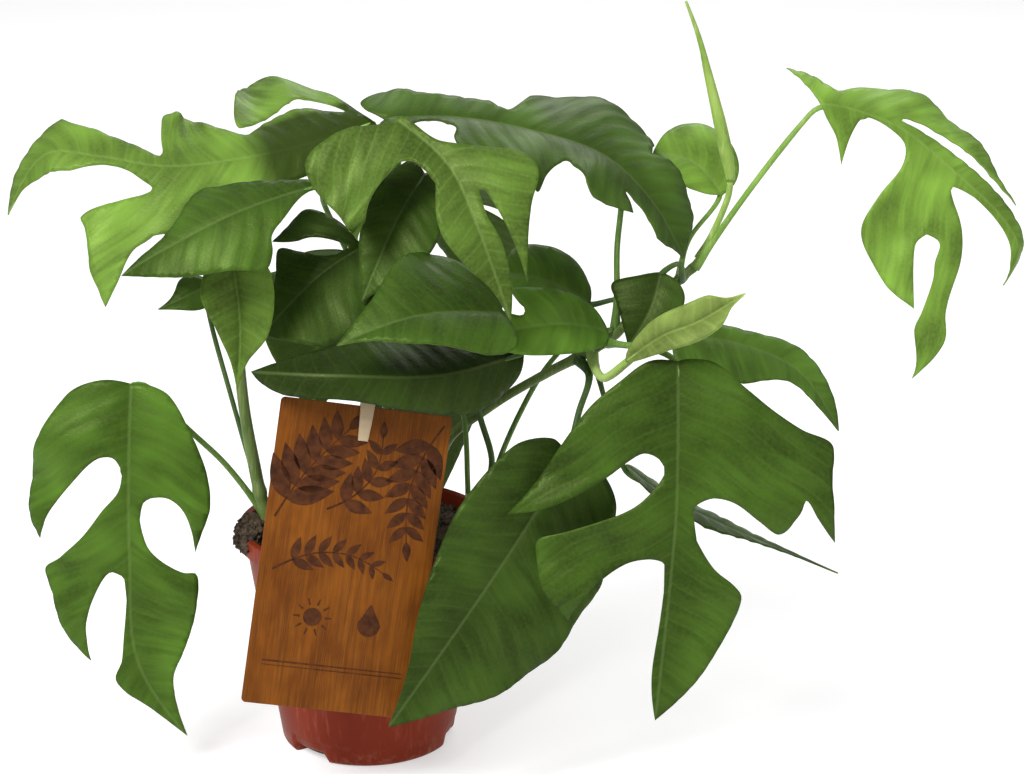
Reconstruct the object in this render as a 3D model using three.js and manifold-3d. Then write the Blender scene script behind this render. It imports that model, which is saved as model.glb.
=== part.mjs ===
// Potted rhaphidophora tetrasperma: a nursery pot of soil with stems, split leaves and a card on a stake.
// Millimetres, +Z up, the origin in the middle of the pot's underside, the viewer of the card at -Y.
import * as THREE from 'three';
import Module from 'manifold-3d';

const wasm = await Module();
wasm.setup();

// Pot
const POT_HEIGHT = 108.4;
const POT_FOOT_RADIUS = 41;
const POT_RIM_RADIUS = 60;
const POT_WALL = 1.4;
const POT_FLOOR = 1.6;
const RIM_DEPTH = 9;
const RIM_STEP = 2.2;
const POT_SIDES = 40;
const NOTCH_COUNT = 3;
const NOTCH_WIDTH = 20;
const NOTCH_ANGLE = 109;
const NOTCH_HEIGHT = 4.5;
const NOTCH_START = 33;
const DRAIN_HOLE_RADIUS = 3.5;
const DRAIN_HOLE_COUNT = 4;
const DRAIN_HOLE_CIRCLE = 22;

// Soil
const SOIL_LEVEL = 103;
const CLUMP_CENTRE = [-53, -13, 107];
const CLUMP_RADII = [8, 14, 8];
const CLUMP_ROUGHNESS = 0.14;
const SOIL_RINGS = 5;
const SOIL_SIDES = 24;

// Clearance between neighbouring pieces
const GAP = 0.3;

// Card and its stake
const CARD_WIDTH = 78;
const CARD_HEIGHT = 141;
const CARD_THICKNESS = 1;
const CARD_CENTRE = [-5.5, -62.9, 113.9];
const CARD_LEAN = 10;
const CARD_ROLL = 9.5;
const CARD_TURN = 8;
const CLIP_WIDTH = 7;
const CLIP_DROP = 16;
const CLIP_THICKNESS = 2;
const STAKE_RADIUS = 2.5;

// Leaves
const BLADE_THICKNESS = 0.8;
const VEIN_SLANT = 0.45;
const LOBE_ROWS = [0, 0.22, 0.6, 1];
const SHORT_ROWS = [0, 0.5, 1];
const MARGIN_STEP = 16;
const ROOT_RADII = [1, 0.9, 0.6];

const GREEN_BRIGHT = 0x6fa33a;
const GREEN_MID = 0x4a7a30;
const GREEN_DARK = 0x2a4a20;
const GREEN_PALE = 0xa5be64;

const add = (a, b, k = 1) => a.map((v, i) => v + b[i] * k);
const sub = (a, b) => a.map((v, i) => v - b[i]);
const dot = (a, b) => a.reduce((sum, v, i) => sum + v * b[i], 0);
const scale = (a, k) => a.map((v) => v * k);
const size = (a) => Math.hypot(...a);
const unit = (a) => scale(a, 1 / size(a));
const cross = (a, b) => [a[1] * b[2] - a[2] * b[1], a[2] * b[0] - a[0] * b[2], a[0] * b[1] - a[1] * b[0]];
const mix = (a, b, t) => a.map((v, i) => v + (b[i] - v) * t);
const clamp = (v, low, high) => Math.min(Math.max(v, low), high);
const radians = (degrees) => (degrees * Math.PI) / 180;
const pathLength = (points) => points.slice(1).reduce((sum, p, i) => sum + size(sub(p, points[i])), 0);

// Smooth curve through the points, s from 0 to 1 by chord length
function spline(points, s) {
  const last = points.length - 1;
  const knots = [0];
  for (let i = 0; i < last; i += 1) knots.push(knots[i] + size(sub(points[i + 1], points[i])));
  const k = knots.map((v) => v / knots[last]);
  const slope = points.map((p, i) => {
    const a = Math.max(i - 1, 0);
    const b = Math.min(i + 1, last);
    return scale(sub(points[b], points[a]), 1 / (k[b] - k[a]));
  });
  if (last > 1) {
    slope[0] = add(scale(slope[0], 1.5), slope[1], -0.5);
    slope[last] = add(scale(slope[last], 1.5), slope[last - 1], -0.5);
  }
  let i = 0;
  while (i < last - 1 && s >= k[i + 1]) i += 1;
  const h = k[i + 1] - k[i];
  const t = clamp((s - k[i]) / h, 0, 1);
  const from = add(scale(points[i], (1 + 2 * t) * (1 - t) ** 2), slope[i], t * (1 - t) ** 2 * h);
  const to = add(scale(points[i + 1], t * t * (3 - 2 * t)), slope[i + 1], t * t * (t - 1) * h);
  return add(from, to);
}

// A midrib: points by arc length with a frame that is carried along without turning
function makeRib(points, face) {
  const count = 61;
  const rib = [];
  for (let i = 0; i < count; i += 1) rib.push({ point: spline(points, i / (count - 1)), at: 0 });
  for (let i = 1; i < count; i += 1) rib[i].at = rib[i - 1].at + size(sub(rib[i].point, rib[i - 1].point));
  let normal = face;
  rib.forEach((r, i) => {
    const before = rib[Math.max(i - 1, 0)].point;
    const after = rib[Math.min(i + 1, count - 1)].point;
    r.along = unit(sub(after, before));
    normal = unit(add(normal, r.along, -dot(normal, r.along)));
    r.normal = normal;
    r.side = cross(r.along, normal);
  });
  return rib;
}

function ribAt(rib, x) {
  const length = rib[rib.length - 1].at;
  const inside = clamp(x, 0, length);
  let i = 0;
  while (i < rib.length - 2 && rib[i + 1].at < inside) i += 1;
  const t = (inside - rib[i].at) / (rib[i + 1].at - rib[i].at);
  const between = (key) => mix(rib[i][key], rib[i + 1][key], t);
  const along = between('along');
  return {
    point: add(between('point'), along, x - inside),
    along,
    normal: between('normal'),
    side: between('side'),
  };
}

// Shares of the midrib at which the veins of the gaps start
const veinRoots = (half, length) => [0, ...half.gaps.map((g) => (g[0] - VEIN_SLANT * g[1]) / length), 1];

// The two edges of a hooked lobe, each from the inner end of its gap to the lobe's tip, or null
function hookEdges(leaf, half, index) {
  const lobe = half.lobes[index];
  const tip = lobe.findIndex((p) => p.length > 2);
  if (tip < 0) return null;
  const before = index === 0 ? [0, 0, 0] : half.gaps[index - 1];
  const after = index === half.lobes.length - 1 ? [leaf.length, 0, 0] : half.gaps[index];
  const points = lobe.map((p) => p.slice(0, 2));
  const edge = (gap, way, turn) => {
    const start = gap.slice(0, 2);
    const d = unit(sub(way[0], start));
    const corner = add(add(start, d, gap[2]), [d[1], -d[0]], turn * gap[2] * 0.77);
    return gap[2] ? [start, corner, ...way] : [start, ...way];
  };
  return [edge(before, points.slice(0, tip + 1), 1), edge(after, points.slice(tip).reverse(), -1)];
}

// Flat place of a point of one lobe: s runs along it, w from 0 at the midrib over 1 to 2 at the margin
function lobePoint(leaf, half, index, s, w) {
  const first = index === 0;
  const last = index === half.lobes.length - 1;
  const base = [0, 0];
  const tip = [leaf.length, 0];
  const margin = [...(first ? [base] : []), ...half.lobes[index], ...(last ? [tip] : [])];
  const roots = veinRoots(half, leaf.length);
  const rib = [(roots[index] + (roots[index + 1] - roots[index]) * s) * leaf.length, 0];
  const edge = spline(margin, s);
  const before = first ? base : half.gaps[index - 1];
  const after = last ? tip : half.gaps[index];
  const core = half.gaps.length ? mix(before.slice(0, 2), after.slice(0, 2), s) : mix(rib, edge, 0.2);
  if (w <= 1) return mix(rib, core, w);
  const t = w - 1;
  const edges = hookEdges(leaf, half, index);
  if (edges) return mix(spline(edges[0], t), spline(edges[1], t), s);
  const round = 2 * Math.sqrt(t) * (1 - t);
  let point = mix(core, edge, t);
  if (!first) {
    const d = unit(sub(margin[0], before.slice(0, 2)));
    point = add(point, [d[1], -d[0]], before[2] * Math.abs(d[1]) * round * (1 - s) ** 1.5);
  }
  if (!last) {
    const d = unit(sub(margin[margin.length - 1], after.slice(0, 2)));
    point = add(point, [-d[1], d[0]], after[2] * Math.abs(d[1]) * round * s ** 1.5);
  }
  return point;
}

// Bends a flat point of a leaf's half into its place in space
function bend(leaf, rib, sideIndex, flat) {
  const length = rib[rib.length - 1].at;
  const k = length / leaf.length;
  const half = leaf.halves[sideIndex];
  const width = Math.max(...half.lobes.flat().map((p) => p[1])) * k;
  const x = flat[0] * k;
  const r = ribAt(rib, x);
  const frame = ribAt(rib, Math.min(x, leaf.frameEnd ?? length));
  const [droopBase, droopTip] = half.droop;
  const droop = radians(droopBase + (droopTip - droopBase) * clamp(x / length, 0, 1) + 0.01);
  const fold = radians(half.fold);
  const angle = fold - (droop * flat[1] * k) / width;
  const across = (width / droop) * (Math.sin(fold) - Math.sin(angle));
  const up = (width / droop) * (Math.cos(angle) - Math.cos(fold));
  return add(add(r.point, frame.side, sideIndex === 0 ? across : -across), frame.normal, up);
}

// Columns of the leaf's net: the shares of the midrib where veins start, finer where the margin is long
function columnsOf(leaf) {
  const roots = leaf.halves.flatMap((half) => veinRoots(half, leaf.length));
  const marks = [...new Set(roots)].sort((a, b) => a - b);
  const columns = [0];
  for (let i = 1; i < marks.length; i += 1) {
    const longest = Math.max(...leaf.halves.map((half) => {
      const r = veinRoots(half, leaf.length);
      const lobe = r.findIndex((v, j) => marks[i] > v && marks[i] <= r[j + 1]);
      const ends = [marks[i - 1], marks[i]].map((u) => (u - r[lobe]) / (r[lobe + 1] - r[lobe]));
      const at = (q) => ends[0] + (ends[1] - ends[0]) * q;
      const level = hookEdges(leaf, half, lobe) ? 1.4 : 2;
      return pathLength([0, 0.25, 0.5, 0.75, 1].map((q) => lobePoint(leaf, half, lobe, at(q), level)));
    }));
    const steps = Math.max(1, Math.round(longest / (leaf.step ?? MARGIN_STEP)));
    for (let j = 1; j <= steps; j += 1) {
      columns.push(marks[i - 1] + ((marks[i] - marks[i - 1]) * j) / steps);
    }
  }
  return columns;
}

// The blade's middle surface as a net of points and triangles
function bladeNet(leaf, rib) {
  const columns = columnsOf(leaf);
  const points = [];
  const ids = new Map();
  const triangles = [];
  leaf.halves.forEach((half, sideIndex) => {
    const roots = veinRoots(half, leaf.length);
    const rowsOf = half.lobes.map((lobe, index) => {
      const edges = hookEdges(leaf, half, index);
      if (!edges) return leaf.small ? SHORT_ROWS : LOBE_ROWS;
      const steps = Math.round((pathLength(edges[0]) + pathLength(edges[1])) / 2 / MARGIN_STEP);
      return Array.from({ length: steps + 1 }, (_, i) => i / steps);
    });
    const vertex = (lobe, column, row) => {
      const share = row === 0 ? 0 : rowsOf[lobe][row - 1];
      const hooked = half.lobes[lobe].some((p) => p.length > 2);
      const end = (column === 0 || column === columns.length - 1) && !(hooked && row > 1);
      let key = `${sideIndex} ${column} ${row}`;
      if (end || row === 0) key = `rib ${column}`;
      else if (hooked && share === 1) key = `tip ${sideIndex} ${lobe}`;
      else if (row > 1) key += ` ${lobe}`;
      if (!ids.has(key)) {
        const s = clamp((columns[column] - roots[lobe]) / (roots[lobe + 1] - roots[lobe]), 0, 1);
        const w = row === 0 ? 0 : 1 + share;
        ids.set(key, points.length);
        const flat = end ? [columns[column] * leaf.length, 0] : lobePoint(leaf, half, lobe, s, w);
        points.push(bend(leaf, rib, sideIndex, flat));
      }
      return ids.get(key);
    };
    for (let c = 1; c < columns.length; c += 1) {
      const lobe = roots.findIndex((v, j) => columns[c] > v && columns[c] <= roots[j + 1] + 1e-9);
      for (let row = 0; row < rowsOf[lobe].length; row += 1) {
        const [a, b] = [vertex(lobe, c - 1, row), vertex(lobe, c, row)];
        const [d, e] = [vertex(lobe, c - 1, row + 1), vertex(lobe, c, row + 1)];
        const pair = [[a, b, e], [a, e, d]].filter((t) => new Set(t).size === 3);
        triangles.push(...pair.map((t) => (sideIndex === 0 ? t : [t[0], t[2], t[1]])));
      }
    }
  });
  return { points, triangles };
}

// Gives a net of triangles its thickness: both faces and a wall along its rim
function thicken(net, thickness) {
  const normals = net.points.map(() => [0, 0, 0]);
  const rim = new Map();
  net.triangles.forEach((t) => {
    const [p, q, r] = t.map((i) => net.points[i]);
    const n = cross(sub(q, p), sub(r, p));
    t.forEach((i) => { normals[i] = add(normals[i], n); });
    t.forEach((i, j) => {
      const next = t[(j + 1) % 3];
      if (!rim.delete(`${next} ${i}`)) rim.set(`${i} ${next}`, [i, next]);
    });
  });
  const count = net.points.length;
  const shifted = (sign) => net.points.map((p, i) => add(p, unit(normals[i]), (sign * thickness) / 2));
  const triangles = [
    ...net.triangles,
    ...net.triangles.map(([a, b, c]) => [c + count, b + count, a + count]),
  ];
  rim.forEach(([a, b]) => triangles.push([b, a, a + count], [b, a + count, b + count]));
  return solid([...shifted(1), ...shifted(-1)], triangles);
}

function solid(points, triangles) {
  return new wasm.Manifold(new wasm.Mesh({
    numProp: 3,
    vertProperties: Float32Array.from(points.flat()),
    triVerts: Uint32Array.from(triangles.flat()),
  }));
}

// A round rod along a smooth path, its radius between the given ones
function rod(path, radii, sides = 6, step = 14) {
  const rings = Math.max(2, Math.ceil(pathLength(path) / step));
  const points = [];
  const triangles = [];
  let normal = [0.31, 0.17, 0.93];
  for (let i = 0; i <= rings; i += 1) {
    const s = i / rings;
    const along = unit(sub(spline(path, Math.min(s + 0.01, 1)), spline(path, Math.max(s - 0.01, 0))));
    normal = unit(add(normal, along, -dot(normal, along)));
    const side = cross(along, normal);
    const place = s * (radii.length - 1);
    const j = Math.min(Math.floor(place), radii.length - 2);
    const radius = radii[j] + (radii[j + 1] - radii[j]) * (place - j);
    for (let k = 0; k < sides; k += 1) {
      const a = (2 * Math.PI * k) / sides;
      points.push(add(add(spline(path, s), normal, radius * Math.cos(a)), side, radius * Math.sin(a)));
      if (i > 0) {
        const [p, q] = [(i - 1) * sides + k, (i - 1) * sides + ((k + 1) % sides)];
        triangles.push([p, q, q + sides], [p, q + sides, p + sides]);
      }
    }
  }
  const top = rings * sides;
  for (let k = 2; k < sides; k += 1) triangles.push([0, k, k - 1], [top, top + k - 1, top + k]);
  return solid(points, triangles);
}

function toManifold(geometry) {
  const plain = geometry.index ? geometry.toNonIndexed() : geometry;
  const source = plain.attributes.position;
  const ids = new Map();
  const points = [];
  const corners = [];
  for (let i = 0; i < source.count; i += 1) {
    const p = [source.getX(i), source.getY(i), source.getZ(i)];
    const key = p.map((v) => Math.round(v * 1e4)).join(' ');
    if (!ids.has(key)) {
      ids.set(key, points.length);
      points.push(p);
    }
    corners.push(ids.get(key));
  }
  const triangles = [];
  for (let i = 0; i < corners.length; i += 3) {
    const t = corners.slice(i, i + 3);
    if (new Set(t).size === 3) triangles.push(t);
  }
  return solid(points, triangles);
}

// A body turned about the Z axis from a profile of [radius, height]
function turned(profile, sides) {
  const geometry = new THREE.LatheGeometry(profile.map(([r, z]) => new THREE.Vector2(r, z)), sides);
  geometry.rotateX(Math.PI / 2);
  return toManifold(geometry);
}

function box(width, depth, height, matrix) {
  const geometry = new THREE.BoxGeometry(width, depth, height);
  geometry.applyMatrix4(matrix);
  return toManifold(geometry);
}

function meshOf(name, body, color, roughness, metalness = 0) {
  const data = body.getMesh();
  const geometry = new THREE.BufferGeometry();
  geometry.setAttribute('position', new THREE.BufferAttribute(new Float32Array(data.vertProperties), 3));
  geometry.setIndex(new THREE.BufferAttribute(new Uint32Array(data.triVerts), 1));
  const mesh = new THREE.Mesh(geometry, new THREE.MeshStandardMaterial({ color, roughness, metalness }));
  mesh.name = name;
  return mesh;
}

// Stems: paths from inside the soil upwards, with their radii
const STEMS = {
  stem_left: {
    path: [
      [-40, -4, 57.4], [-44, -7, 99.4], [-50, -11, 135.4], [-55, -14, 175.4], [-56, -12, 210.4],
      [-50, -4, 240.4], [-40, 4, 257.4],
    ],
    radii: [3, 3, 2.8, 2.4, 2.2],
  },
  stem_middle: {
    path: [[6, 10, 57.4], [8, 12, 99.4], [11, 16, 165.4], [12, 20, 225.4], [10, 22, 279.4]],
    radii: [3.2, 3, 2.8, 2.4],
  },
  stem_right: {
    path: [
      [30, 10, 57.4], [32, 9, 99.4], [38, 4, 145.4], [59, -2, 166.4], [87, -7, 185.4], [110, -8, 198.4],
      [129, 0, 212.4], [147, 5, 226.4], [157, 8, 234.4],
    ],
    radii: [2.6, 2.5, 2.3, 2.2, 2.4, 2],
  },
};

// Halves of a leaf's pattern: lobe margins and the gaps between them by turns, as [along, out] from the
// blade's base; a gap ends in its third number's roundness, and a third number marks a hooked lobe's tip.
// Left and right are those of a leaf hanging tip down and seen from above. fold tilts a half up, droop
// curves it down, both in degrees.
const half = (fold, droop, ...parts) => ({
  fold,
  droop,
  lobes: parts.filter((p, i) => i % 2 === 0),
  gaps: parts.filter((p, i) => i % 2 === 1),
});

const LEAVES = [
  {
    name: 'leaf_right_large', color: GREEN_MID, length: 165, face: [0, -1, 0.4], stalkRadius: [1.9, 1.6],
    stalk: [[113.5, -10, 200.4], [119, -26, 204.4], [134, -47, 208.4]],
    midrib: [[143.3, -57, 206.2], [143.3, -70, 168.6], [142.3, -78, 133.9], [134.4, -84, 43.8]],
    halves: [
      half(10, [25, 25], [[0, 13], [9, 26], [20, 39], [38, 52], [53, 62], [73, 75, 1], [68, 59], [59, 42],
        [51, 30], [44, 21], [41, 15], [43, 9]], [48.5, 6, 1],
        [[56, 9.5], [65, 19], [73, 35], [80, 50], [85, 61], [96, 60], [109, 55], [121, 44, 1], [114, 41],
        [102, 33], [92, 21], [89, 11]], [91, 3.5, 1],
        [[104, 2.5], [120, 3], [140, 4], [152, 3]]),
      half(10, [25, 25], [[-1, 6], [1, 17], [12, 30], [22, 42], [30, 55], [37, 70], [55, 69], [77, 73, 1],
        [67, 63], [60, 57], [65, 55], [74, 47], [69, 37], [62, 26], [60, 17], [62, 11]], [66, 7.5, 1],
        [[79, 10], [91, 19], [97, 28], [102, 32], [114, 30], [128, 24], [146, 15]]),
    ],
  },
  {
    name: 'leaf_left_hanging', color: GREEN_MID, length: 165, face: [0, -1, 0.4], stalkRadius: [1.6, 1.4],
    stalk: [[-46, -8, 113.4], [-64, -12, 141.4], [-83, -15, 162.4], [-98, -20, 182.4]],
    midrib: [
      [-105, -25, 185.4], [-106, -36, 152.4], [-107, -40, 104.4], [-105, -42, 55.4], [-83, -43, 17.4],
    ],
    halves: [
      half(10, [45, 35], [[-1, 13], [5, 28], [19, 38], [41, 45], [54, 46], [69, 39, 1], [56, 34],
        [43, 24], [33, 14], [32, 7]], [38, 3.5, 1], [[47, 4.5], [55, 11], [67, 20], [77, 31], [84, 39],
        [95, 34], [109, 29], [120, 20, 1], [115, 20], [105, 19], [91, 14], [83, 8.5]], [86, 2.5, 1],
        [[96, 1.5], [109, 3], [122, 6.5], [129, 12], [145, 5]]),
      half(10, [35, 35], [[0.5, 8], [5, 17], [20, 26], [38, 34], [52, 35], [65, 32], [75, 29, 1], [64, 27],
        [54, 23], [49, 17], [49, 10]], [53, 6, 1],
        [[59, 5], [71, 8], [78, 14], [83, 23], [84, 29], [95, 29], [110, 27], [127, 20], [139, 11]]),
    ],
  },
  {
    name: 'leaf_front_plain', color: GREEN_DARK, length: 155,
    face: [0.25, -1, 0.4], stalkRadius: [1.9, 1.5],
    stalk: [[100, -9.5, 191.9], [105, -20, 187.4], [100, -36, 175.4]],
    midrib: [[95, -50, 157.4], [64.3, -74, 114.4], [13.5, -86, 41.4]],
    halves: [
      half(10, [25, 25], [[-4, 12], [10, 26], [50, 32], [95, 22], [128, 8]]),
      half(10, [25, 25], [[-4, 15], [8, 32], [50, 46], [100, 40], [135, 16]]),
    ],
  },
  {
    name: 'leaf_left_long', color: GREEN_BRIGHT, length: 195, frameEnd: 170, step: 21,
    face: [-0.1, -0.35, 0.9], stalkRadius: [1.8, 1.5],
    stalk: [[8, 23, 257.4], [5, 20, 283.4], [6, 14, 297.4]],
    midrib: [
      [6, 10, 300.4], [-22, 0, 292.4], [-54, -8, 287], [-87, -10, 284], [-119, 3, 285.4],
      [-145, 10, 284.4], [-163, 8, 256.4],
    ],
    halves: [
      half(15, [40, 10], [[4, 9.5], [5.5, 15], [12, 37], [28, 57], [40, 66, 1], [53, 59], [60, 43],
        [62, 20], [46, 24], [27, 30], [15, 23]], [9, 11.5, 1], [[18, 18], [30, 23], [47, 21], [59, 14],
        [70, 20], [76, 25], [81, 29], [88, 32], [103, 34], [112, 33], [116, 31], [111, 22], [104, 11]],
        [103, 5.5, 1.5], [[116, 9], [125, 11], [133, 13], [141, 15], [149, 16], [153, 18], [156, 21],
        [159, 17], [164, 13], [171, 10], [182, 7.5]]),
      half(-25, [30, 10], [[0, 8.5], [14, 14], [40, 16], [79, 26], [88, 34]], [97, 35, 1], [[100, 38],
        [103, 42], [105, 50], [106, 59], [108, 70, 1], [112, 62], [117, 55], [121, 46], [126, 37],
        [131, 32], [120, 23], [110, 18], [104, 15]], [102, 12, 1], [[106, 9], [115, 5], [124, 4],
        [134, 5], [147, 10], [168, 9.5], [180, 3], [188, 1]]),
    ],
  },
  {
    name: 'leaf_left_plain', color: GREEN_MID, length: 105,
    face: [-0.2, -0.6, 0.8], stalkRadius: [1.6, 1.3],
    stalk: [[9, 19, 185.4], [-5, 14, 231.4], [-17, 7, 262]],
    midrib: [[-14, -28, 280.7], [-50.9, -43, 271.7], [-86.9, -48, 254], [-104, -49, 243.5]],
    halves: [
      half(5, [25, 25], [[5, 4], [28, 13], [40, 19], [53, 26], [62, 21], [70, 13], [82, 6], [94, 3]]),
      half(-5, [25, 25], [[14, 4], [24, 11], [34, 18], [37, 26], [43, 32], [58, 26], [80, 17], [92, 10]]),
    ],
  },
  {
    name: 'leaf_left_folded', color: GREEN_BRIGHT, length: 70,
    face: [0, -1, 0.3], small: true, stalkRadius: [1.6, 1.3],
    stalk: [[-55, -13, 195.4], [-56, -20, 235.4]],
    midrib: [[-57, -30, 250.4], [-53, -38, 219.4], [-55, -40, 187.4]],
    halves: [
      half(35, [25, 25], [[2, 10], [20, 19], [40, 12], [55, 5]]),
      half(35, [25, 25], [[2, 10], [15, 20], [40, 16], [55, 5]]),
    ],
  },
  {
    name: 'leaf_left_small', color: GREEN_DARK, length: 35,
    face: [-0.2, -0.8, 0.6], small: true, stalkRadius: [1.5, 1.2],
    stalk: [[-49, -10, 127.4], [-61, -10, 175.4], [-71, -8, 219.4]],
    midrib: [[-68, -10, 229.4], [-80, -18, 224.4], [-92, -20, 219.4]],
    halves: [
      half(10, [25, 25], [[4, 8], [14, 12], [26, 3]]),
      half(10, [25, 25], [[4, 8], [14, 12], [26, 5]]),
    ],
  },
  {
    name: 'leaf_top_right', color: GREEN_DARK, length: 170,
    face: [0.1, -0.35, 0.93], stalkRadius: [1.8, 1.5],
    stalk: [[13, 21, 267.4], [18, 15, 287.4]],
    midrib: [
      [12, 5, 302.4], [41, 5, 303.4], [73, 5, 298.4], [110, 0, 287.4], [132, -8, 268.4],
      [148, -10, 240.4],
    ],
    halves: [
      half(10, [25, 25], [[-2.5, 7.5], [9.5, 7.5], [20, 5], [27, 6.5], [33.5, 11], [33, 20], [36, 27],
        [46, 30.5], [57, 31.5], [66, 32], [75, 38], [82, 44], [84, 31], [87, 24]], [91, 19, 1],
        [[97, 22], [115, 31], [127, 28], [136, 20, 1], [132, 16]], [127, 12, 1],
        [[143, 13], [154, 13], [164, 4]]),
      half(10, [25, 25], [[-12, 12], [-4, 21], [6, 24], [17, 17], [35, 16], [48, 15]], [57, 10, 1.5],
        [[65, 26], [77, 38], [90, 42], [103, 43], [112, 40], [118, 34]], [120, 26, 1],
        [[127, 29], [146, 28], [157, 22], [164, 9]]),
    ],
  },
  {
    name: 'leaf_centre_bright', color: GREEN_BRIGHT, length: 117, step: 21,
    face: [-0.1, -0.75, 0.65], stalkRadius: [1.7, 1.4],
    stalk: [[11, 18, 200.4], [5, 0, 250.4], [6, -15, 293.4]],
    midrib: [[17.2, -16, 307.3], [41.1, -34, 290.4], [54, -52, 267.5], [63, -61, 244.5], [69, -64, 226.6]],
    halves: [
      half(10, [25, 25], [[-4, 8], [-14, 20], [-18, 42], [-6, 51], [14, 54], [40, 56], [56, 54, 1],
          [27, 41]], [23, 12, 6],
        [[42, 10], [66, 17], [85, 12], [100, 4]]),
      half(10, [25, 25], [[2, 3], [22, 4], [32, 11], [39, 21], [46, 33], [55, 36], [67, 29], [81, 21],
          [102, 13, 1], [80, 13]],
        [54, 7, 3], [[68, 6], [82, 8], [100, 6]]),
    ],
  },
  {
    name: 'leaf_centre_upper', color: GREEN_DARK, length: 85,
    face: [-0.3, -1, 0.3], small: true, stalkRadius: [1.5, 1.3],
    stalk: [[13, 20, 235.4], [24, 10, 269.4]],
    midrib: [[29.8, -3, 279.1], [16.8, -21, 260.1], [1.8, -35, 227]],
    halves: [
      half(10, [25, 25], [[-4, 11], [4, 16], [25, 20], [50, 16], [70, 7]]),
      half(10, [25, 25], [[-3, 8], [5, 12], [25, 24], [45, 26], [65, 14]]),
    ],
  },
  {
    name: 'leaf_centre_lower', color: GREEN_MID, length: 80,
    face: [-0.1, -0.6, 0.8], small: true, stalkRadius: [1.6, 1.3],
    stalk: [
      [43, 2, 57.4], [45, 2, 99.4], [48.5, -4, 118], [48.5, -5, 137], [48, -5, 153], [46.5, -4, 166],
      [44, -3, 174], [43, -3, 185], [48, -10, 207.4], [58, -32, 225.4],
    ],
    root: [[48.5, -4.6, 128], [48, -6, 121], [45, -9, 115], [40, -10, 109.5]],
    midrib: [[66, -50, 226.4], [29.3, -70, 231.4], [-7.4, -76, 219.5]],
    halves: [
      half(10, [25, 25], [[5, 20], [25, 39], [40, 33], [60, 14]]),
      half(10, [25, 25], [[2, 20], [20, 24], [50, 14], [65, 6]]),
    ],
  },
  {
    name: 'leaf_over_card', color: GREEN_DARK, length: 125,
    face: [-0.1, -0.7, 0.7], stalkRadius: [1.8, 1.5],
    stalk: [
      [44, -5, 57.4], [48, -6, 99.4], [58, -7, 130.4], [60, -8, 143.4], [54, -6, 167.4],
      [58, -12, 180.4], [68, -26, 192.4],
    ],
    midrib: [[75, -33, 202.9], [37.2, -58, 200], [-6.5, -68, 203], [-47.3, -53, 200]],
    halves: [
      half(0, [25, 25], [[5, 20], [35, 34], [70, 30], [100, 14]]),
      half(-40, [25, 25], [[5, 9], [16, 16], [26, 18.5], [39, 17.5], [53, 14.5], [78, 10.5], [108, 9],
          [119, 5]]),
    ],
  },
  {
    name: 'leaf_left_dark', color: GREEN_DARK, length: 75,
    face: [-0.3, -0.8, 0.6], small: true, stalkRadius: [1.6, 1.3],
    stalk: [[12, 18, 217.4], [10, 2, 243.4]],
    midrib: [[0.7, -10, 246], [-17.3, -20, 235.9], [-33.4, -25, 220.9], [-44.4, -25, 207.8]],
    halves: [
      half(10, [25, 25], [[-1.5, 11], [3, 29], [9.5, 39], [22, 39], [34, 36, 1], [27, 28], [18, 22],
        [9.5, 11.5]], [6, 3.5, 1], [[14, 4], [21, 9], [28, 20], [34, 29], [45, 18], [57, 10]]),
      half(10, [25, 25], [[0, 20], [20, 36], [50, 34], [65, 15]]),
    ],
  },
  {
    name: 'leaf_right_inner', color: GREEN_MID, length: 70,
    face: [-0.1, -0.8, 0.6], small: true, stalkRadius: [1.5, 1.3],
    stalk: [
      [43, 11, 57.4], [49, 8, 95.4], [57, 2, 116.4], [64, 1, 140.4], [74, 0, 164.4], [85, 0, 184.4],
      [97, -1, 198], [110, 0, 202.4], [116, -5, 205.4],
    ],
    midrib: [[114, -12, 206.4], [89, -30, 215.4], [51, -38, 210.4]],
    halves: [
      half(10, [25, 25], [[10, 10], [30, 17], [50, 20]], [45, 6, 3], [[54, 10]]),
      half(10, [25, 25], [[5, 8], [25, 14], [50, 12]]),
    ],
  },
  {
    name: 'leaf_right_inner_back', color: GREEN_DARK, length: 50,
    face: [0.1, -0.5, 0.85], small: true, stalkRadius: [1.4, 1.2],
    stalk: [[123, -2, 208.4], [120, 5, 216.4]],
    midrib: [[106, 6, 214.4], [89, 6, 224.4], [64, 1, 231.4]],
    halves: [
      half(10, [25, 25], [[5, 10], [20, 22], [40, 18]]),
      half(10, [25, 25], [[5, 10], [20, 22], [40, 18]]),
    ],
  },
  {
    name: 'leaf_right_small', color: GREEN_DARK, length: 45,
    face: [-0.1, -0.9, 0.5], small: true, stalkRadius: [1.3, 1.2],
    stalk: [[148, 3.5, 226.4], [146, -4, 236.4]],
    midrib: [[138, 0, 231.4], [133, -10, 216.4], [123, -14, 199.4]],
    halves: [
      half(10, [25, 25], [[4, 10], [12, 24], [24, 20]]),
      half(10, [25, 25], [[4, 10], [12, 16], [24, 14]]),
    ],
  },
  {
    name: 'leaf_far_right', color: GREEN_BRIGHT, length: 140, frameEnd: 80, step: 21,
    face: [0.1, -0.5, 0.85], stalkRadius: [1.7, 1.4],
    stalk: [[154, 5, 231.9], [180, 4.5, 271.4], [205, 5, 304.4]],
    midrib: [
      [210, 5, 309.4], [223, 5, 307.4], [246, 0, 299.4], [269, -4, 281.4], [292, -8, 260.4],
      [301, -9, 244.4], [295, -9, 227.4],
    ],
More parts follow.
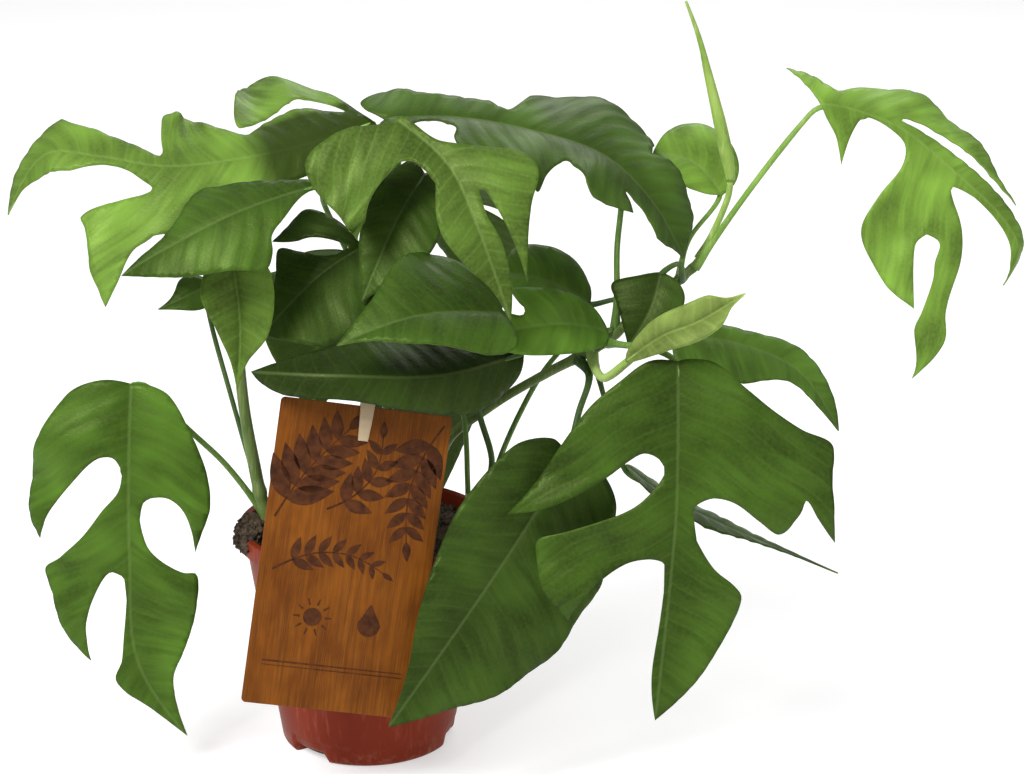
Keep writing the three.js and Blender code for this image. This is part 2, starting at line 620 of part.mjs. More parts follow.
    halves: [
      half(-35, [25, 25], [[4, 8], [14, 20], [18, 27, 1], [18, 14]], [22, 3, 2],
        [[36, 3], [46, 6], [51, 15], [51, 31], [54, 46], [63, 54], [83, 61], [101, 60, 1]], [81, 31, 6],
        [[93, 38], [98, 44], [105, 58], [109, 67], [127, 74, 1], [127, 55], [114, 49], [102, 28],
          [92, 18]], [76, 6, 2],
        [[87, 3], [102, 3], [114, 4], [124, 6]]),
      half(5, [25, 25], [[-8, 15], [-14, 27, 1], [-2, 18]], [8, 10, 1],
        [[17, 18], [34, 27], [51, 33], [66, 33], [80, 27], [92, 20], [106, 14, 1], [88, 15], [66, 16],
        [50, 11]],
        [38, 4, 2], [[60, 8], [75, 9], [95, 9], [110, 7], [124, 5]]),
    ],
  },
  {
    name: 'leaf_young', color: GREEN_PALE, length: 66,
    face: [0, -0.8, 0.6], small: true, stalkRadius: [2, 2],
    stalk: [[106.5, -11, 195.4], [108, -24, 191.4], [112, -38, 192.4]],
    midrib: [[120.1, -52, 204.3], [136.8, -60, 219.1], [152.5, -64, 227], [172.2, -67, 240.8]],
    halves: [
      half(45, [60, 30], [[6, 4], [26, 9], [50, 9], [58, 3]]),
      half(45, [60, 30], [[6, 4], [26, 9], [50, 9], [58, 3]]),
    ],
  },
  {
    name: 'leaf_right_behind', color: GREEN_DARK, length: 95,
    face: [0.1, -0.6, 0.8], small: true, stalkRadius: [1.5, 1.3],
    stalk: [[129, -2, 211.4], [137, -6, 212.4]],
    midrib: [[143.5, -12, 205], [177.7, -7, 197.9], [202.8, -10, 185.8], [220.9, -17, 159.7]],
    halves: [
      half(10, [25, 25], [[0, 14], [14, 19], [36, 21], [48, 16], [62, 9], [80, 5]]),
      half(10, [25, 25], [[2, 9], [14, 9], [36, 9], [60, 12], [80, 7]]),
    ],
  },
  {
    name: 'leaf_right_edge_on', color: GREEN_DARK, length: 110,
    face: [0.35, 0.15, 0.92], small: true, stalkRadius: [1.5, 1.2],
    stalk: [[107, -8.5, 193.9], [112, -13, 175.4]],
    midrib: [[122, -20, 144.4], [140, -25, 131.4], [166, -25, 117.4], [190, -25, 106.4], [222, -25, 92.4]],
    halves: [
      half(5, [15, 15], [[4, 8], [20, 15], [50, 15], [80, 5]]),
      half(5, [15, 15], [[4, 8], [20, 15], [50, 12], [80, 4]]),
    ],
  },
  {
    name: 'leaf_back_pale', color: GREEN_BRIGHT, length: 38,
    face: [0, -0.5, 0.85], small: true, stalkRadius: [1.2, 1.1],
    stalk: [[147, 7.5, 227.4], [152, 18, 242]],
    midrib: [[168, 30, 260.4], [155, 40, 273.4], [136, 48, 276.4]],
    halves: [
      half(10, [25, 25], [[2, 8], [10, 16], [24, 22], [34, 14]]),
      half(10, [25, 25], [[4, 7], [14, 12], [28, 8]]),
    ],
  },
  {
    name: 'leaf_back_centre', color: GREEN_MID, length: 125,
    face: [-0.1, 0.5, 0.8], stalkRadius: [1.6, 1.4],
    stalk: [[11.5, 18, 190], [4, 34, 224]],
    midrib: [[-4, 42, 228], [-14, 66, 212], [-26, 88, 172], [-30, 92, 128]],
    halves: [
      half(10, [25, 25], [[-4, 14], [8, 30], [36, 38], [58, 34]], [40, 6, 5], [[64, 34], [88, 26],
          [108, 12]]),
      half(10, [25, 25], [[-4, 14], [8, 28], [30, 36], [50, 34]], [34, 6, 5], [[58, 34], [84, 26],
          [106, 12]]),
    ],
  },
  {
    name: 'leaf_back_tall', color: GREEN_MID, length: 85,
    face: [0, 0.1, 1], small: true, stalkRadius: [1.7, 1.4],
    stalk: [[117, -4.5, 203.9], [118, 0, 219.4], [118, 4, 241.4], [120, 8, 263.4]],
    midrib: [[120, 12, 277.4], [114, 44, 285.4], [104, 86, 273.4]],
    halves: [
      half(10, [25, 25], [[0, 10], [20, 20], [50, 16]]),
      half(10, [25, 25], [[0, 10], [20, 20], [50, 16]]),
    ],
  },
  {
    name: 'leaf_back_right', color: GREEN_MID, length: 120, face: [0.2, 0.6, 0.7], stalkRadius: [1.6, 1.4],
    stalk: [[11, 17, 181.4], [24, 32, 243]],
    midrib: [[35, 42, 261.4], [46, 68, 247.4], [55, 92, 213.4], [58, 98, 175.4]],
    halves: [
      half(10, [25, 25], [[-4, 14], [8, 28], [36, 32], [54, 28]], [38, 6, 4], [[60, 28], [84, 22],
          [106, 10]]),
      half(10, [25, 25], [[-4, 14], [8, 26], [36, 32], [70, 26], [96, 12]]),
    ],
  },
  {
    name: 'leaf_back_low', color: GREEN_DARK, length: 100,
    face: [-0.1, 0.8, 0.5], small: true, stalkRadius: [1.6, 1.3],
    stalk: [[9, 13, 119.4], [14, 30, 158]],
    midrib: [[18, 42, 168], [26, 64, 154], [32, 82, 124], [34, 86, 92]],
    halves: [
      half(10, [25, 25], [[-4, 12], [10, 26], [40, 30], [70, 16]]),
      half(10, [25, 25], [[-4, 12], [10, 26], [40, 30], [70, 16]]),
    ],
  },
];

function makeLeaf(leaf, stems) {
  const rib = makeRib(leaf.midrib, leaf.face);
  const blade = thicken(bladeNet(leaf, rib), BLADE_THICKNESS);
  const run = ribAt(rib, 14);
  const path = [...leaf.stalk, leaf.midrib[0], add(run.point, run.normal, -0.4)];
  const [start, end] = leaf.stalkRadius;
  let body = blade.add(rod(path, [start, end, end, 0.9], 5, 16));
  if (leaf.root) body = body.add(rod(leaf.root, ROOT_RADII, 5, 6));
  stems.forEach((stem) => { body = body.subtract(stem); });
  return largest(body);
}

function largest(body) {
  const pieces = body.decompose();
  return pieces.reduce((a, b) => (a.volume() > b.volume() ? a : b));
}

function makePot() {
  const slope = (POT_RIM_RADIUS - RIM_STEP - POT_FOOT_RADIUS) / POT_HEIGHT;
  const outer = (z) => POT_FOOT_RADIUS + slope * z;
  const body = turned([
    [0, 0], [POT_FOOT_RADIUS - 4, 0], [POT_FOOT_RADIUS - 1.2, 1.1], [outer(4), 4],
    [outer(POT_HEIGHT - RIM_DEPTH), POT_HEIGHT - RIM_DEPTH],
    [POT_RIM_RADIUS - 0.4, POT_HEIGHT - RIM_DEPTH + 1], [POT_RIM_RADIUS, POT_HEIGHT - 0.8],
    [POT_RIM_RADIUS - 0.8, POT_HEIGHT], [outer(POT_HEIGHT) - POT_WALL, POT_HEIGHT],
    [outer(POT_FLOOR) - POT_WALL - 1, POT_FLOOR + 1], [outer(POT_FLOOR) - POT_WALL - 2.5, POT_FLOOR],
    [0, POT_FLOOR],
  ], POT_SIDES);
  const shell = turned([[0, 0.1], [outer(1) - 1.6, 0.1], [outer(12), 12], [0, 12]], POT_SIDES);
  let pot = body.add(notches(POT_WALL).intersect(shell)).subtract(notches(0));
  for (let i = 0; i < DRAIN_HOLE_COUNT; i += 1) {
    const a = (2 * Math.PI * i) / DRAIN_HOLE_COUNT;
    const hole = new THREE.CylinderGeometry(DRAIN_HOLE_RADIUS, DRAIN_HOLE_RADIUS, 10, 10);
    hole.rotateX(Math.PI / 2);
    hole.translate(DRAIN_HOLE_CIRCLE * Math.cos(a), DRAIN_HOLE_CIRCLE * Math.sin(a), 0);
    pot = pot.subtract(toManifold(hole));
  }
  return pot;
}

// The drain notches round the pot's foot, grown by a margin
function notches(margin) {
  const reach = POT_FOOT_RADIUS + 8 - NOTCH_START;
  let all = null;
  for (let i = 0; i < NOTCH_COUNT; i += 1) {
    const a = radians(NOTCH_ANGLE) + (2 * Math.PI * i) / NOTCH_COUNT;
    const matrix = new THREE.Matrix4().makeRotationZ(a);
    matrix.multiply(new THREE.Matrix4().makeTranslation(NOTCH_START + reach / 2, 0, NOTCH_HEIGHT / 2 - 2));
    const block = box(reach + 2 * margin, NOTCH_WIDTH + 2 * margin, NOTCH_HEIGHT + 4 + 2 * margin, matrix);
    all = all ? all.add(block) : block;
  }
  return all;
}

// Height of the soil: gentle lumps, higher where the left stem stands
function soilHeight(x, y) {
  const lumps = 1.6 * Math.sin(0.21 * x + 1) * Math.cos(0.17 * y) + 1.1 * Math.sin(0.37 * y + 0.11 * x + 2);
  const mound = 7 * Math.exp(-((x + 46) ** 2 + (y + 6) ** 2) / 120);
  return SOIL_LEVEL + lumps + mound;
}

// A lump of soil that lies over the pot's rim
function makeClump() {
  const clump = new THREE.IcosahedronGeometry(1, 2);
  const corners = clump.attributes.position;
  for (let i = 0; i < corners.count; i += 1) {
    const [x, y, z] = [corners.getX(i), corners.getY(i), corners.getZ(i)];
    const k = 1 + CLUMP_ROUGHNESS * Math.sin(5 * x + 3 * z) * Math.cos(4 * y - 2 * z + 1);
    corners.setXYZ(i, x * k, y * k, z * k);
  }
  clump.scale(...CLUMP_RADII);
  clump.translate(...CLUMP_CENTRE);
  return toManifold(clump);
}

function makeSoil(rods) {
  const slope = (POT_RIM_RADIUS - RIM_STEP - POT_FOOT_RADIUS) / POT_HEIGHT;
  const inner = (z) => POT_FOOT_RADIUS - POT_WALL - 2 * GAP + slope * z;
  const points = [[0, 0, POT_FLOOR + GAP], [0, 0, soilHeight(0, 0)]];
  const triangles = [];
  const ringStart = (ring) => 2 + ring * SOIL_SIDES;
  for (let ring = 0; ring <= SOIL_RINGS; ring += 1) {
    for (let i = 0; i < SOIL_SIDES; i += 1) {
      const a = (2 * Math.PI * i) / SOIL_SIDES;
      if (ring === 0) {
        const r = inner(POT_FLOOR) - 3;
        points.push([r * Math.cos(a), r * Math.sin(a), POT_FLOOR + GAP]);
      } else {
        const r = (inner(SOIL_LEVEL - 3) * (SOIL_RINGS + 1 - ring)) / SOIL_RINGS;
        const [x, y] = [r * Math.cos(a), r * Math.sin(a)];
        points.push([x, y, ring === 1 ? SOIL_LEVEL - 2 : soilHeight(x, y)]);
      }
    }
  }
  for (let i = 0; i < SOIL_SIDES; i += 1) {
    const j = (i + 1) % SOIL_SIDES;
    triangles.push([0, ringStart(0) + j, ringStart(0) + i]);
    for (let ring = 0; ring < SOIL_RINGS; ring += 1) {
      const [a, b] = [ringStart(ring) + i, ringStart(ring) + j];
      triangles.push([a, b, b + SOIL_SIDES], [a, b + SOIL_SIDES, a + SOIL_SIDES]);
    }
    triangles.push([1, ringStart(SOIL_RINGS) + i, ringStart(SOIL_RINGS) + j]);
  }
  const rim = turned([
    [inner(60) + GAP, 60], [POT_RIM_RADIUS + GAP, 60], [POT_RIM_RADIUS + GAP, POT_HEIGHT + GAP],
    [inner(POT_HEIGHT) + GAP, POT_HEIGHT + GAP], [inner(60) + GAP, 60],
  ], POT_SIDES);
  let soil = solid(points, triangles).subtract(notches(POT_WALL + GAP)).add(makeClump().subtract(rim));
  rods.forEach((r) => { soil = soil.subtract(r); });
  return largest(soil);
}

const cardMatrix = new THREE.Matrix4().makeTranslation(...CARD_CENTRE)
  .multiply(new THREE.Matrix4().makeRotationZ(radians(CARD_TURN)))
  .multiply(new THREE.Matrix4().makeRotationX(radians(-CARD_LEAN)))
  .multiply(new THREE.Matrix4().makeRotationY(radians(CARD_ROLL)));

const onCard = (x, y, z) => new THREE.Vector3(x, y, z).applyMatrix4(cardMatrix).toArray();

// The stake stands in the soil behind the card and folds over the card's top edge as a clip
const STAKE_BACK = CARD_THICKNESS / 2 + 2 * GAP;
const STAKE_PATH = [
  [-2, -44, 65.4], [-2, -46, 99.4], onCard(-1, STAKE_BACK + STAKE_RADIUS + 4, 20),
  onCard(0, STAKE_BACK + STAKE_RADIUS + 0.5, 45), onCard(0, STAKE_BACK + STAKE_RADIUS, CARD_HEIGHT / 2 - 8),
];

function makeStake() {
  const top = CARD_HEIGHT / 2 + GAP;
  const block = (y0, y1, z0, z1) => {
    const middle = new THREE.Matrix4().makeTranslation(0, (y0 + y1) / 2, (z0 + z1) / 2);
    const matrix = middle.premultiply(cardMatrix);
    return box(CLIP_WIDTH, y1 - y0, z1 - z0, matrix);
  };
  const front = -CARD_THICKNESS / 2 - GAP;
  const lid = block(front - CLIP_THICKNESS, STAKE_BACK + CLIP_THICKNESS, top, top + CLIP_THICKNESS);
  const finger = block(front - CLIP_THICKNESS, front, top - CLIP_DROP, top + CLIP_THICKNESS);
  const back = block(STAKE_BACK, STAKE_BACK + CLIP_THICKNESS, top - CLIP_DROP, top + CLIP_THICKNESS);
  return rod(STAKE_PATH, [STAKE_RADIUS, STAKE_RADIUS], 8).add(lid).add(finger).add(back);
}

function makeCard() {
  return box(CARD_WIDTH, CARD_THICKNESS, CARD_HEIGHT, cardMatrix);
}

const stemBodies = Object.entries(STEMS).map(([name, stem]) => ({
  name,
  body: rod(stem.path, stem.radii, 8),
  room: rod(stem.path, stem.radii.map((r) => r + GAP), 8),
}));
const rooms = stemBodies.map((s) => s.room);

// Holes in the soil for the leaves whose stalks stand in it, and for the stake
const STALKS_IN_SOIL = ['leaf_over_card', 'leaf_centre_lower', 'leaf_right_inner'];
const stalkRooms = LEAVES.filter((leaf) => STALKS_IN_SOIL.includes(leaf.name)).map((leaf) => {
  const path = [...leaf.stalk, leaf.midrib[0]];
  return rod(path, leaf.stalkRadius.map((r) => r + GAP + 0.1), 8, 16);
});
const stakeRoom = rod(STAKE_PATH, [STAKE_RADIUS + GAP, STAKE_RADIUS + GAP], 8);

const SPIKE = {
  stalk: [[156, 11.6, 234.4], [163, 12.8, 247.4], [169, 11.6, 263.4], [170, 10, 272.4]],
  blade: [[170, 10, 272.4], [167, 10, 289.4], [159, 10, 321.4], [154, 10, 339.4], [148, 10, 355.4]],
};

function makeSpike(stems) {
  let body = rod(SPIKE.blade, [2.2, 3.2, 2.4, 1.4, 0.6], 8, 10)
    .add(rod(SPIKE.stalk, [1.4, 1.4, 1.6], 6, 12));
  stems.forEach((stem) => { body = body.subtract(stem); });
  return largest(body);
}

const group = new THREE.Group();
group.name = 'potted_plant';
group.add(meshOf('pot', makePot(), 0x7a2a22, 0.55));
group.add(meshOf('soil', makeSoil([...rooms, ...stalkRooms, stakeRoom]), 0x2a1d15, 1));
group.add(meshOf('card', makeCard(), 0x9a5a20, 0.6));
group.add(meshOf('card_stake', makeStake(), 0xe0d8c0, 0.5));
stemBodies.forEach(({ name, body }) => group.add(meshOf(name, body, 0x5a7a3a, 0.5)));
LEAVES.forEach((leaf) => group.add(meshOf(leaf.name, makeLeaf(leaf, rooms), leaf.color, 0.4)));
group.add(meshOf('new_leaf_spike', makeSpike(rooms), GREEN_PALE, 0.4));

export default group;
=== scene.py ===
# Potted rhaphidophora tetrasperma: fine leaves, stems, pot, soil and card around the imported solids.
# The frame is in metres; the sizes and tables here are in millimetres and MM turns them into metres.
import math
import random

import bmesh
import bpy
import numpy as np
from mathutils import Matrix, Vector, geometry, noise


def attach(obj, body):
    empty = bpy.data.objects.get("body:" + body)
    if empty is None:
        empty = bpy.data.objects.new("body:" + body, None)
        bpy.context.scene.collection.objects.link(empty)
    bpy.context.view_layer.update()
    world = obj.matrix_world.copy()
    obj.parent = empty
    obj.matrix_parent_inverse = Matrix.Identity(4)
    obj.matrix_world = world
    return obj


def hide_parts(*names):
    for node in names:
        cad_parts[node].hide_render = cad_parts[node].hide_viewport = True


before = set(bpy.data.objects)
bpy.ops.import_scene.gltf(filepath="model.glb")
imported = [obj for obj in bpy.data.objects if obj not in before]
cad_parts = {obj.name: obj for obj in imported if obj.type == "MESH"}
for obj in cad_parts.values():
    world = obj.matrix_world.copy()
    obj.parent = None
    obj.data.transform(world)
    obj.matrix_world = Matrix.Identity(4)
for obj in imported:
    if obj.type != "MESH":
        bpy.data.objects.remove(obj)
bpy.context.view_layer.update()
random.seed(11)

MM = 0.001
GAP = 0.3

# Pot
POT_HEIGHT = 108.4
POT_FOOT_RADIUS = 41
POT_RIM_RADIUS = 60
POT_WALL = 1.4
POT_FLOOR = 1.6
RIM_DEPTH = 9
RIM_STEP = 2.2
POT_SLOPE = (POT_RIM_RADIUS - RIM_STEP - POT_FOOT_RADIUS) / POT_HEIGHT
NOTCH_COUNT = 3
NOTCH_ANGLE = 109
NOTCH_WIDTH = 20
NOTCH_HEIGHT = 4.5
NOTCH_START = 33
HOLE_COUNT = 4
HOLE_RADIUS = 3.5
HOLE_CIRCLE = 22

# Soil
SOIL_LEVEL = 103
SOIL_RINGS = 44
CLUMP_CENTRE = (-53, -13, 107)
CLUMP_RADII = (7.6, 13.5, 7.8)
MOUND_PLACE = (-46, -6)
MOUND_HEIGHT = 7
CRUMB_COUNT = 420
CRUMB_SIZES = (0.7, 2.6)
CRUMB_CIRCLE = 52

# Card, stake and clip
CARD_WIDTH = 78
CARD_HEIGHT = 141
CARD_THICKNESS = 1
CARD_CORNER = 2
CARD_CENTRE = (-5.5, -62.9, 113.9)
CARD_LEAN = 10
CARD_ROLL = 9.5
CARD_TURN = 8
CARD_FRONT = -CARD_THICKNESS / 2
STAKE_RADIUS = 2.5
STAKE_FRONT = CARD_THICKNESS / 2 + 2 * GAP
CLIP_WIDTH = 6.6
CLIP_TIP_WIDTH = 4.6
CLIP_DROP = 16
CLIP_THICKNESS = 1.7
CLIP_BEVEL = 0.35

# Stems and stalks: swellings are shares of the radius
JOINT_REACH = 5.5
JOINT_SWELL = 0.2
JOINT_WIDTH = 2.2
SHEATH_SWELL = 0.5
SHEATH_LENGTH = 9
KNEE_SWELL = 0.22
KNEE_LENGTH = 5
CHANNEL_DEPTH = 0.07
STALK_END_RADIUS = 0.9

# Leaves: the net of a blade, its midrib, and its relief, which is less on leaves under FULL_SIZE
LEAF_THICKNESS = 0.5
NET_STEP = 2.3
NET_ROW_STEP = 0.87 * NET_STEP
OUTLINE_STEP = 0.8 * NET_STEP
CORNER_BULGE = 0.77
RIB_ROWS = (-2.3, -1.0, 1.0, 2.3)
RIB_CLEAR = 3.6
RIB_HALF_WIDTH = 1.5
RIB_GROOVE = 0.45
RIB_RIDGE = 1.1
FULL_SIZE = 110
VEIN_SPACING = 8.5
VEIN_SLANT = 0.5
VEIN_CURVE = 0.002
VEIN_SWAY = 0.14
QUILT_DEPTH = 0.7
QUILT_REACH = 9
WAVE_HEIGHT = 2.2
WAVE_LENGTH = 38
WAVE_REACH = 45

# Camera and light, in metres
CAMERA_PLACE = Vector((0.0695, -1.3226, 0.6054))
CAMERA_AIM = Vector((0.0695, 0.0089, 0.1727))
CAMERA_LENS = 104.72
LIGHT_AIM = Vector((0.03, 0, 0.15))


def spline(points, shares):
    """Smooth curve through the points, at the given shares of its chord length."""
    p = np.asarray(points, float)
    s = np.atleast_1d(np.asarray(shares, float))
    k = np.concatenate([[0], np.cumsum(np.linalg.norm(np.diff(p, axis=0), axis=1))])
    k /= k[-1]
    last = len(p) - 1
    slope = np.array([
        (p[min(i + 1, last)] - p[max(i - 1, 0)]) / (k[min(i + 1, last)] - k[max(i - 1, 0)])
        for i in range(last + 1)
    ])
    if last > 1:
        slope[0] = 1.5 * slope[0] - 0.5 * slope[1]
        slope[last] = 1.5 * slope[last] - 0.5 * slope[last - 1]
    i = np.clip(np.searchsorted(k[1:-1], s, side="right"), 0, last - 1)
    h = (k[i + 1] - k[i])[:, None]
    t = np.clip((s[:, None] - k[i][:, None]) / h, 0, 1)
    start = p[i] * (1 + 2 * t) * (1 - t) ** 2 + slope[i] * t * (1 - t) ** 2 * h
    return start + p[i + 1] * t * t * (3 - 2 * t) + slope[i + 1] * t * t * (t - 1) * h


def path_length(points):
    return float(np.linalg.norm(np.diff(np.asarray(points, float), axis=0), axis=1).sum())


def unit(v):
    return v / np.linalg.norm(v, axis=-1, keepdims=True)


def smooth(x):
    x = np.clip(x, 0, 1)
    return x * x * (3 - 2 * x)


def bell(x, width):
    """A bump of height 1 at zero that falls off over the width."""
    return np.exp(-((x / width) ** 2))


class Half:
    """One side of a leaf's flat pattern: lobe margins and the gaps between them, by turns.

    In degrees, fold is how far it rises from the midrib and droop how far it bends down to its margin,
    at the base and at the tip.
    """

    def __init__(self, *parts, fold=10, droop=(25, 25)):
        self.lobes = parts[0::2]
        self.gaps = parts[1::2]
        self.fold = fold
        self.droop = droop


class Leaf:
    """A leaf's colour, paths in space and flat pattern, where one half alone stands for both.

    From frame_end on the blade's frame stops turning with its midrib. The share painted_base_shade is how
    far painted shade darkens the blade by its stalk, and root is the path of an aerial root.
    """

    def __init__(self, name, tone, shade, length, face, stalk_radii, stalk, midrib, *halves,
                 frame_end=math.inf, painted_base_shade=0, root=None):
        self.name = name
        self.tone = tone
        self.shade = shade
        self.length = length
        self.face = face
        self.stalk_radii = stalk_radii
        self.stalk = stalk
        self.midrib = midrib
        self.halves = halves if len(halves) == 2 else halves * 2
        self.frame_end = frame_end
        self.painted_base_shade = painted_base_shade
        self.root = root


class Rib:
    """A midrib with a frame that is carried along without turning."""

    def __init__(self, points, face):
        self.point = spline(points, np.linspace(0, 1, 61))
        steps = np.linalg.norm(np.diff(self.point, axis=0), axis=1)
        self.at = np.concatenate([[0], np.cumsum(steps)])
        self.length = self.at[-1]
        ahead = np.vstack([self.point[1:], self.point[-1:]])
        behind = np.vstack([self.point[:1], self.point[:-1]])
        self.along = unit(ahead - behind)
        normal = np.asarray(face, float)
        normals = []
        for along in self.along:
            normal = unit(normal - along * (normal @ along))
            normals.append(normal)
        self.normal = np.array(normals)
        self.side = np.cross(self.along, self.normal)

    def take(self, key, x):
        """The rib's point, along, side or normal at the lengths x."""
        values = getattr(self, key)
        inside = np.clip(x, 0, self.length)
        return np.stack([np.interp(inside, self.at, values[:, i]) for i in range(3)], axis=1)

    def point_at(self, x):
        beyond = x - np.clip(x, 0, self.length)
        return self.take("point", x) + self.take("along", x) * beyond[:, None]


def gap_edge(gap, way, turn):
    """Points from the inner end of a gap over its round corner and on along way."""
    start = np.array(gap[:2], float)
    if not gap[2]:
        return [start, *way]
    d = unit(way[0] - start)
    corner = start + d * gap[2] + np.array([d[1], -d[0]]) * turn * gap[2] * CORNER_BULGE
    return [start, corner, *way]


def bowed(gap, end, turn):
    """A gap's edge from its inner end to the margin, bowed out by the gap's roundness."""
    start = np.array(gap[:2], float)
    d = unit(end - start)
    side = np.array([d[1], -d[0]]) * turn * gap[2] * abs(d[1])
    shares = (0, 0.04, 0.12, 0.25, 0.45, 0.7, 1)
    return [start + (end - start) * t + side * 2 * math.sqrt(t) * (1 - t) for t in shares]


def half_outline(leaf, half):
    """Flat outline of a leaf's half from base to tip: lobes joined at the inner ends of their gaps."""
    outline = [np.zeros((1, 2))]

    def follow(points):
        count = max(3, round(path_length(points) / OUTLINE_STEP))
        outline.append(spline(points, np.linspace(0, 1, count + 1))[1:])

    last = len(half.lobes) - 1
    for index, lobe in enumerate(half.lobes):
        before = [0, 0, 0] if index == 0 else half.gaps[index - 1]
        after = [leaf.length, 0, 0] if index == last else half.gaps[index]
        margin = [np.array(p[:2], float) for p in lobe]
        tip = next((i for i, p in enumerate(lobe) if len(p) > 2), None)
        if tip is not None:
            follow(gap_edge(before, margin[:tip + 1], 1))
            follow(gap_edge(after, margin[tip:][::-1], -1)[::-1])
            continue
        if index == 0:
            margin = [np.zeros(2), *margin]
        else:
            follow(bowed(before, margin[0], 1))
        if index == last:
            follow([*margin, np.array([leaf.length, 0.0])])
        else:
            follow(margin)
            follow(bowed(after, margin[-1], -1)[::-1])
    return np.vstack(outline)


def bend(leaf, rib, flat):
    """Bends flat points (along, out), left half positive, into their places in space."""
    k = rib.length / leaf.length
    x = flat[:, 0] * k
    point = rib.point_at(x)
    frame_x = np.minimum(x, leaf.frame_end)
    side = rib.take("side", frame_x)
    normal = rib.take("normal", frame_x)
    left = flat[:, 1] > 0
    for half, chosen, way in zip(leaf.halves, (left, ~left), (1, -1)):
        width = max(p[1] for lobe in half.lobes for p in lobe) * k
        base, tip = half.droop
        droop = np.radians(base + (tip - base) * np.clip(x / rib.length, 0, 1) + 0.01)
        fold = math.radians(half.fold)
        angle = fold - droop * np.abs(flat[:, 1]) * k / width
        across = width / droop * (math.sin(fold) - np.sin(angle)) * way
        up = width / droop * (np.cos(angle) - math.cos(fold))
        moved = side * across[:, None] + normal * up[:, None]
        point = point + moved * chosen[:, None]
    return point


def inside(points, polygon):
    """Which of the points lie inside the polygon."""
    x, y = points[:, 0], points[:, 1]
    hit = np.zeros(len(points), bool)
    ax, ay = polygon[-1]
    for bx, by in polygon:
        if ay != by:
            crossing = (ay > y) != (by > y)
            hit ^= crossing & (x < (bx - ax) * (y - ay) / (by - ay) + ax)
        ax, ay = bx, by
    return hit


def clear_of(points, line, limit):
    """Which of the points keep more than limit from the line's points."""
    keep = np.ones(len(points), bool)
    for start in range(0, len(line), 200):
        part = line[start:start + 200]
        d = np.linalg.norm(points[:, None, :] - part[None, :, :], axis=2).min(axis=1)
        keep &= d > limit
    return keep


def flat_net(leaf):
    """A leaf's flat net of points and triangles, with the midrib as a line of edges."""
    left, right = (half_outline(leaf, half) for half in leaf.halves)
    right = right * [1, -1]
    outline = np.vstack([left[:-1], right[::-1][:-1]])
    count = max(6, round(leaf.length / NET_STEP))
    rib = np.stack([np.linspace(0, leaf.length, count + 1)[1:-1], np.zeros(count - 1)], axis=1)
    rows = [rib + [0, y] for y in RIB_ROWS]
    low, high = outline.min(axis=0), outline.max(axis=0)
    xs = np.arange(low[0], high[0], NET_STEP)
    ys = np.arange(low[1], high[1], NET_ROW_STEP)
    grid = np.array([(x + (j % 2) * NET_STEP / 2, y) for j, y in enumerate(ys) for x in xs])
    loose = np.vstack([*rows, grid[np.abs(grid[:, 1]) > RIB_CLEAR]])
    loose = loose[inside(loose, outline)]
    loose = loose[clear_of(loose, outline, NET_STEP * 0.5)]
    rib = rib[clear_of(rib, outline, NET_STEP * 0.3)]
    points = np.vstack([outline, rib, loose])
    n = len(outline)
    spine = [0, *range(n, n + len(rib)), len(left) - 1]
    edges = [(i, (i + 1) % n) for i in range(n)] + list(zip(spine, spine[1:]))
    net = geometry.delaunay_2d_cdt([Vector(p) for p in points], edges, [], 1, 1e-4)
    flat = np.array([(v.x, v.y) for v in net[0]])
    return flat, np.array([face for face in net[2] if len(face) == 3])


def vertex_normals(points, triangles):
    a, b, c = (points[triangles[:, i]] for i in range(3))
    face = np.cross(b - a, c - a)
    normals = np.zeros_like(points)
    for i in range(3):
        np.add.at(normals, triangles[:, i], face)
    return unit(normals + 1e-12)


def rim_edges(triangles):
    """Edges that only one triangle has."""
    edges = {}
    for t in triangles:
        for edge in ((t[0], t[1]), (t[1], t[2]), (t[2], t[0])):
            if not edges.pop(edge[::-1], None):
                edges[edge] = True
    return edges


def blade(leaf, rib):
    """A leaf's blade: upper and under faces with veins, quilting and waves, and a thin rim."""
    flat, triangles = flat_net(leaf)
    a, b, c = (flat[triangles[:, i]] for i in range(3))
    area = (b[:, 0] - a[:, 0]) * (c[:, 1] - a[:, 1]) - (b[:, 1] - a[:, 1]) * (c[:, 0] - a[:, 0])
    triangles = np.where((area > 0)[:, None], triangles, triangles[:, ::-1])
    points = bend(leaf, rib, flat)
    normals = vertex_normals(points, triangles)
    if (normals * rib.take("normal", flat[:, 0])).sum() < 0:
        triangles = triangles[:, ::-1]
        normals = -normals
    along, out = flat[:, 0], np.abs(flat[:, 1])
    right = flat[:, 1] < 0
    turn = random.uniform(0, 6.28)
    sway = VEIN_SWAY * np.sin(along / 13 + out / 9 + turn)
    veins = (along - VEIN_SLANT * out - VEIN_CURVE * out * out) / VEIN_SPACING + sway + 0.5 * right
    pillow = np.abs(np.sin(np.pi * veins)) ** 0.6 - 0.6
    wave = np.sin(2 * np.pi * along / WAVE_LENGTH + turn + 1.5 * right)
    size = min(1, leaf.length / FULL_SIZE)
    height = QUILT_DEPTH * size * pillow * smooth(out / QUILT_REACH)
    height += WAVE_HEIGHT * size * wave * smooth(out / WAVE_REACH)
    near_rib = bell(out, RIB_HALF_WIDTH) * (1 - 0.7 * np.clip(along / leaf.length, 0, 1))
    upper = points + normals * (height + LEAF_THICKNESS / 2 - RIB_GROOVE * near_rib)[:, None]
    under = points + normals * (height - LEAF_THICKNESS / 2 - RIB_RIDGE * near_rib)[:, None]
    count = len(points)
    faces = [tuple(t) for t in triangles]
    faces += [tuple(t[::-1] + count) for t in triangles]
    faces += [(b, a, a + count, b + count) for a, b in rim_edges(triangles)]
    slots = [0] * len(triangles) + [1] * (len(faces) - len(triangles))
    uv = np.stack([veins, out / 100], axis=1)
    return np.vstack([upper, under]), faces, slots, np.vstack([uv, uv]), np.vstack([flat, flat]) / 100


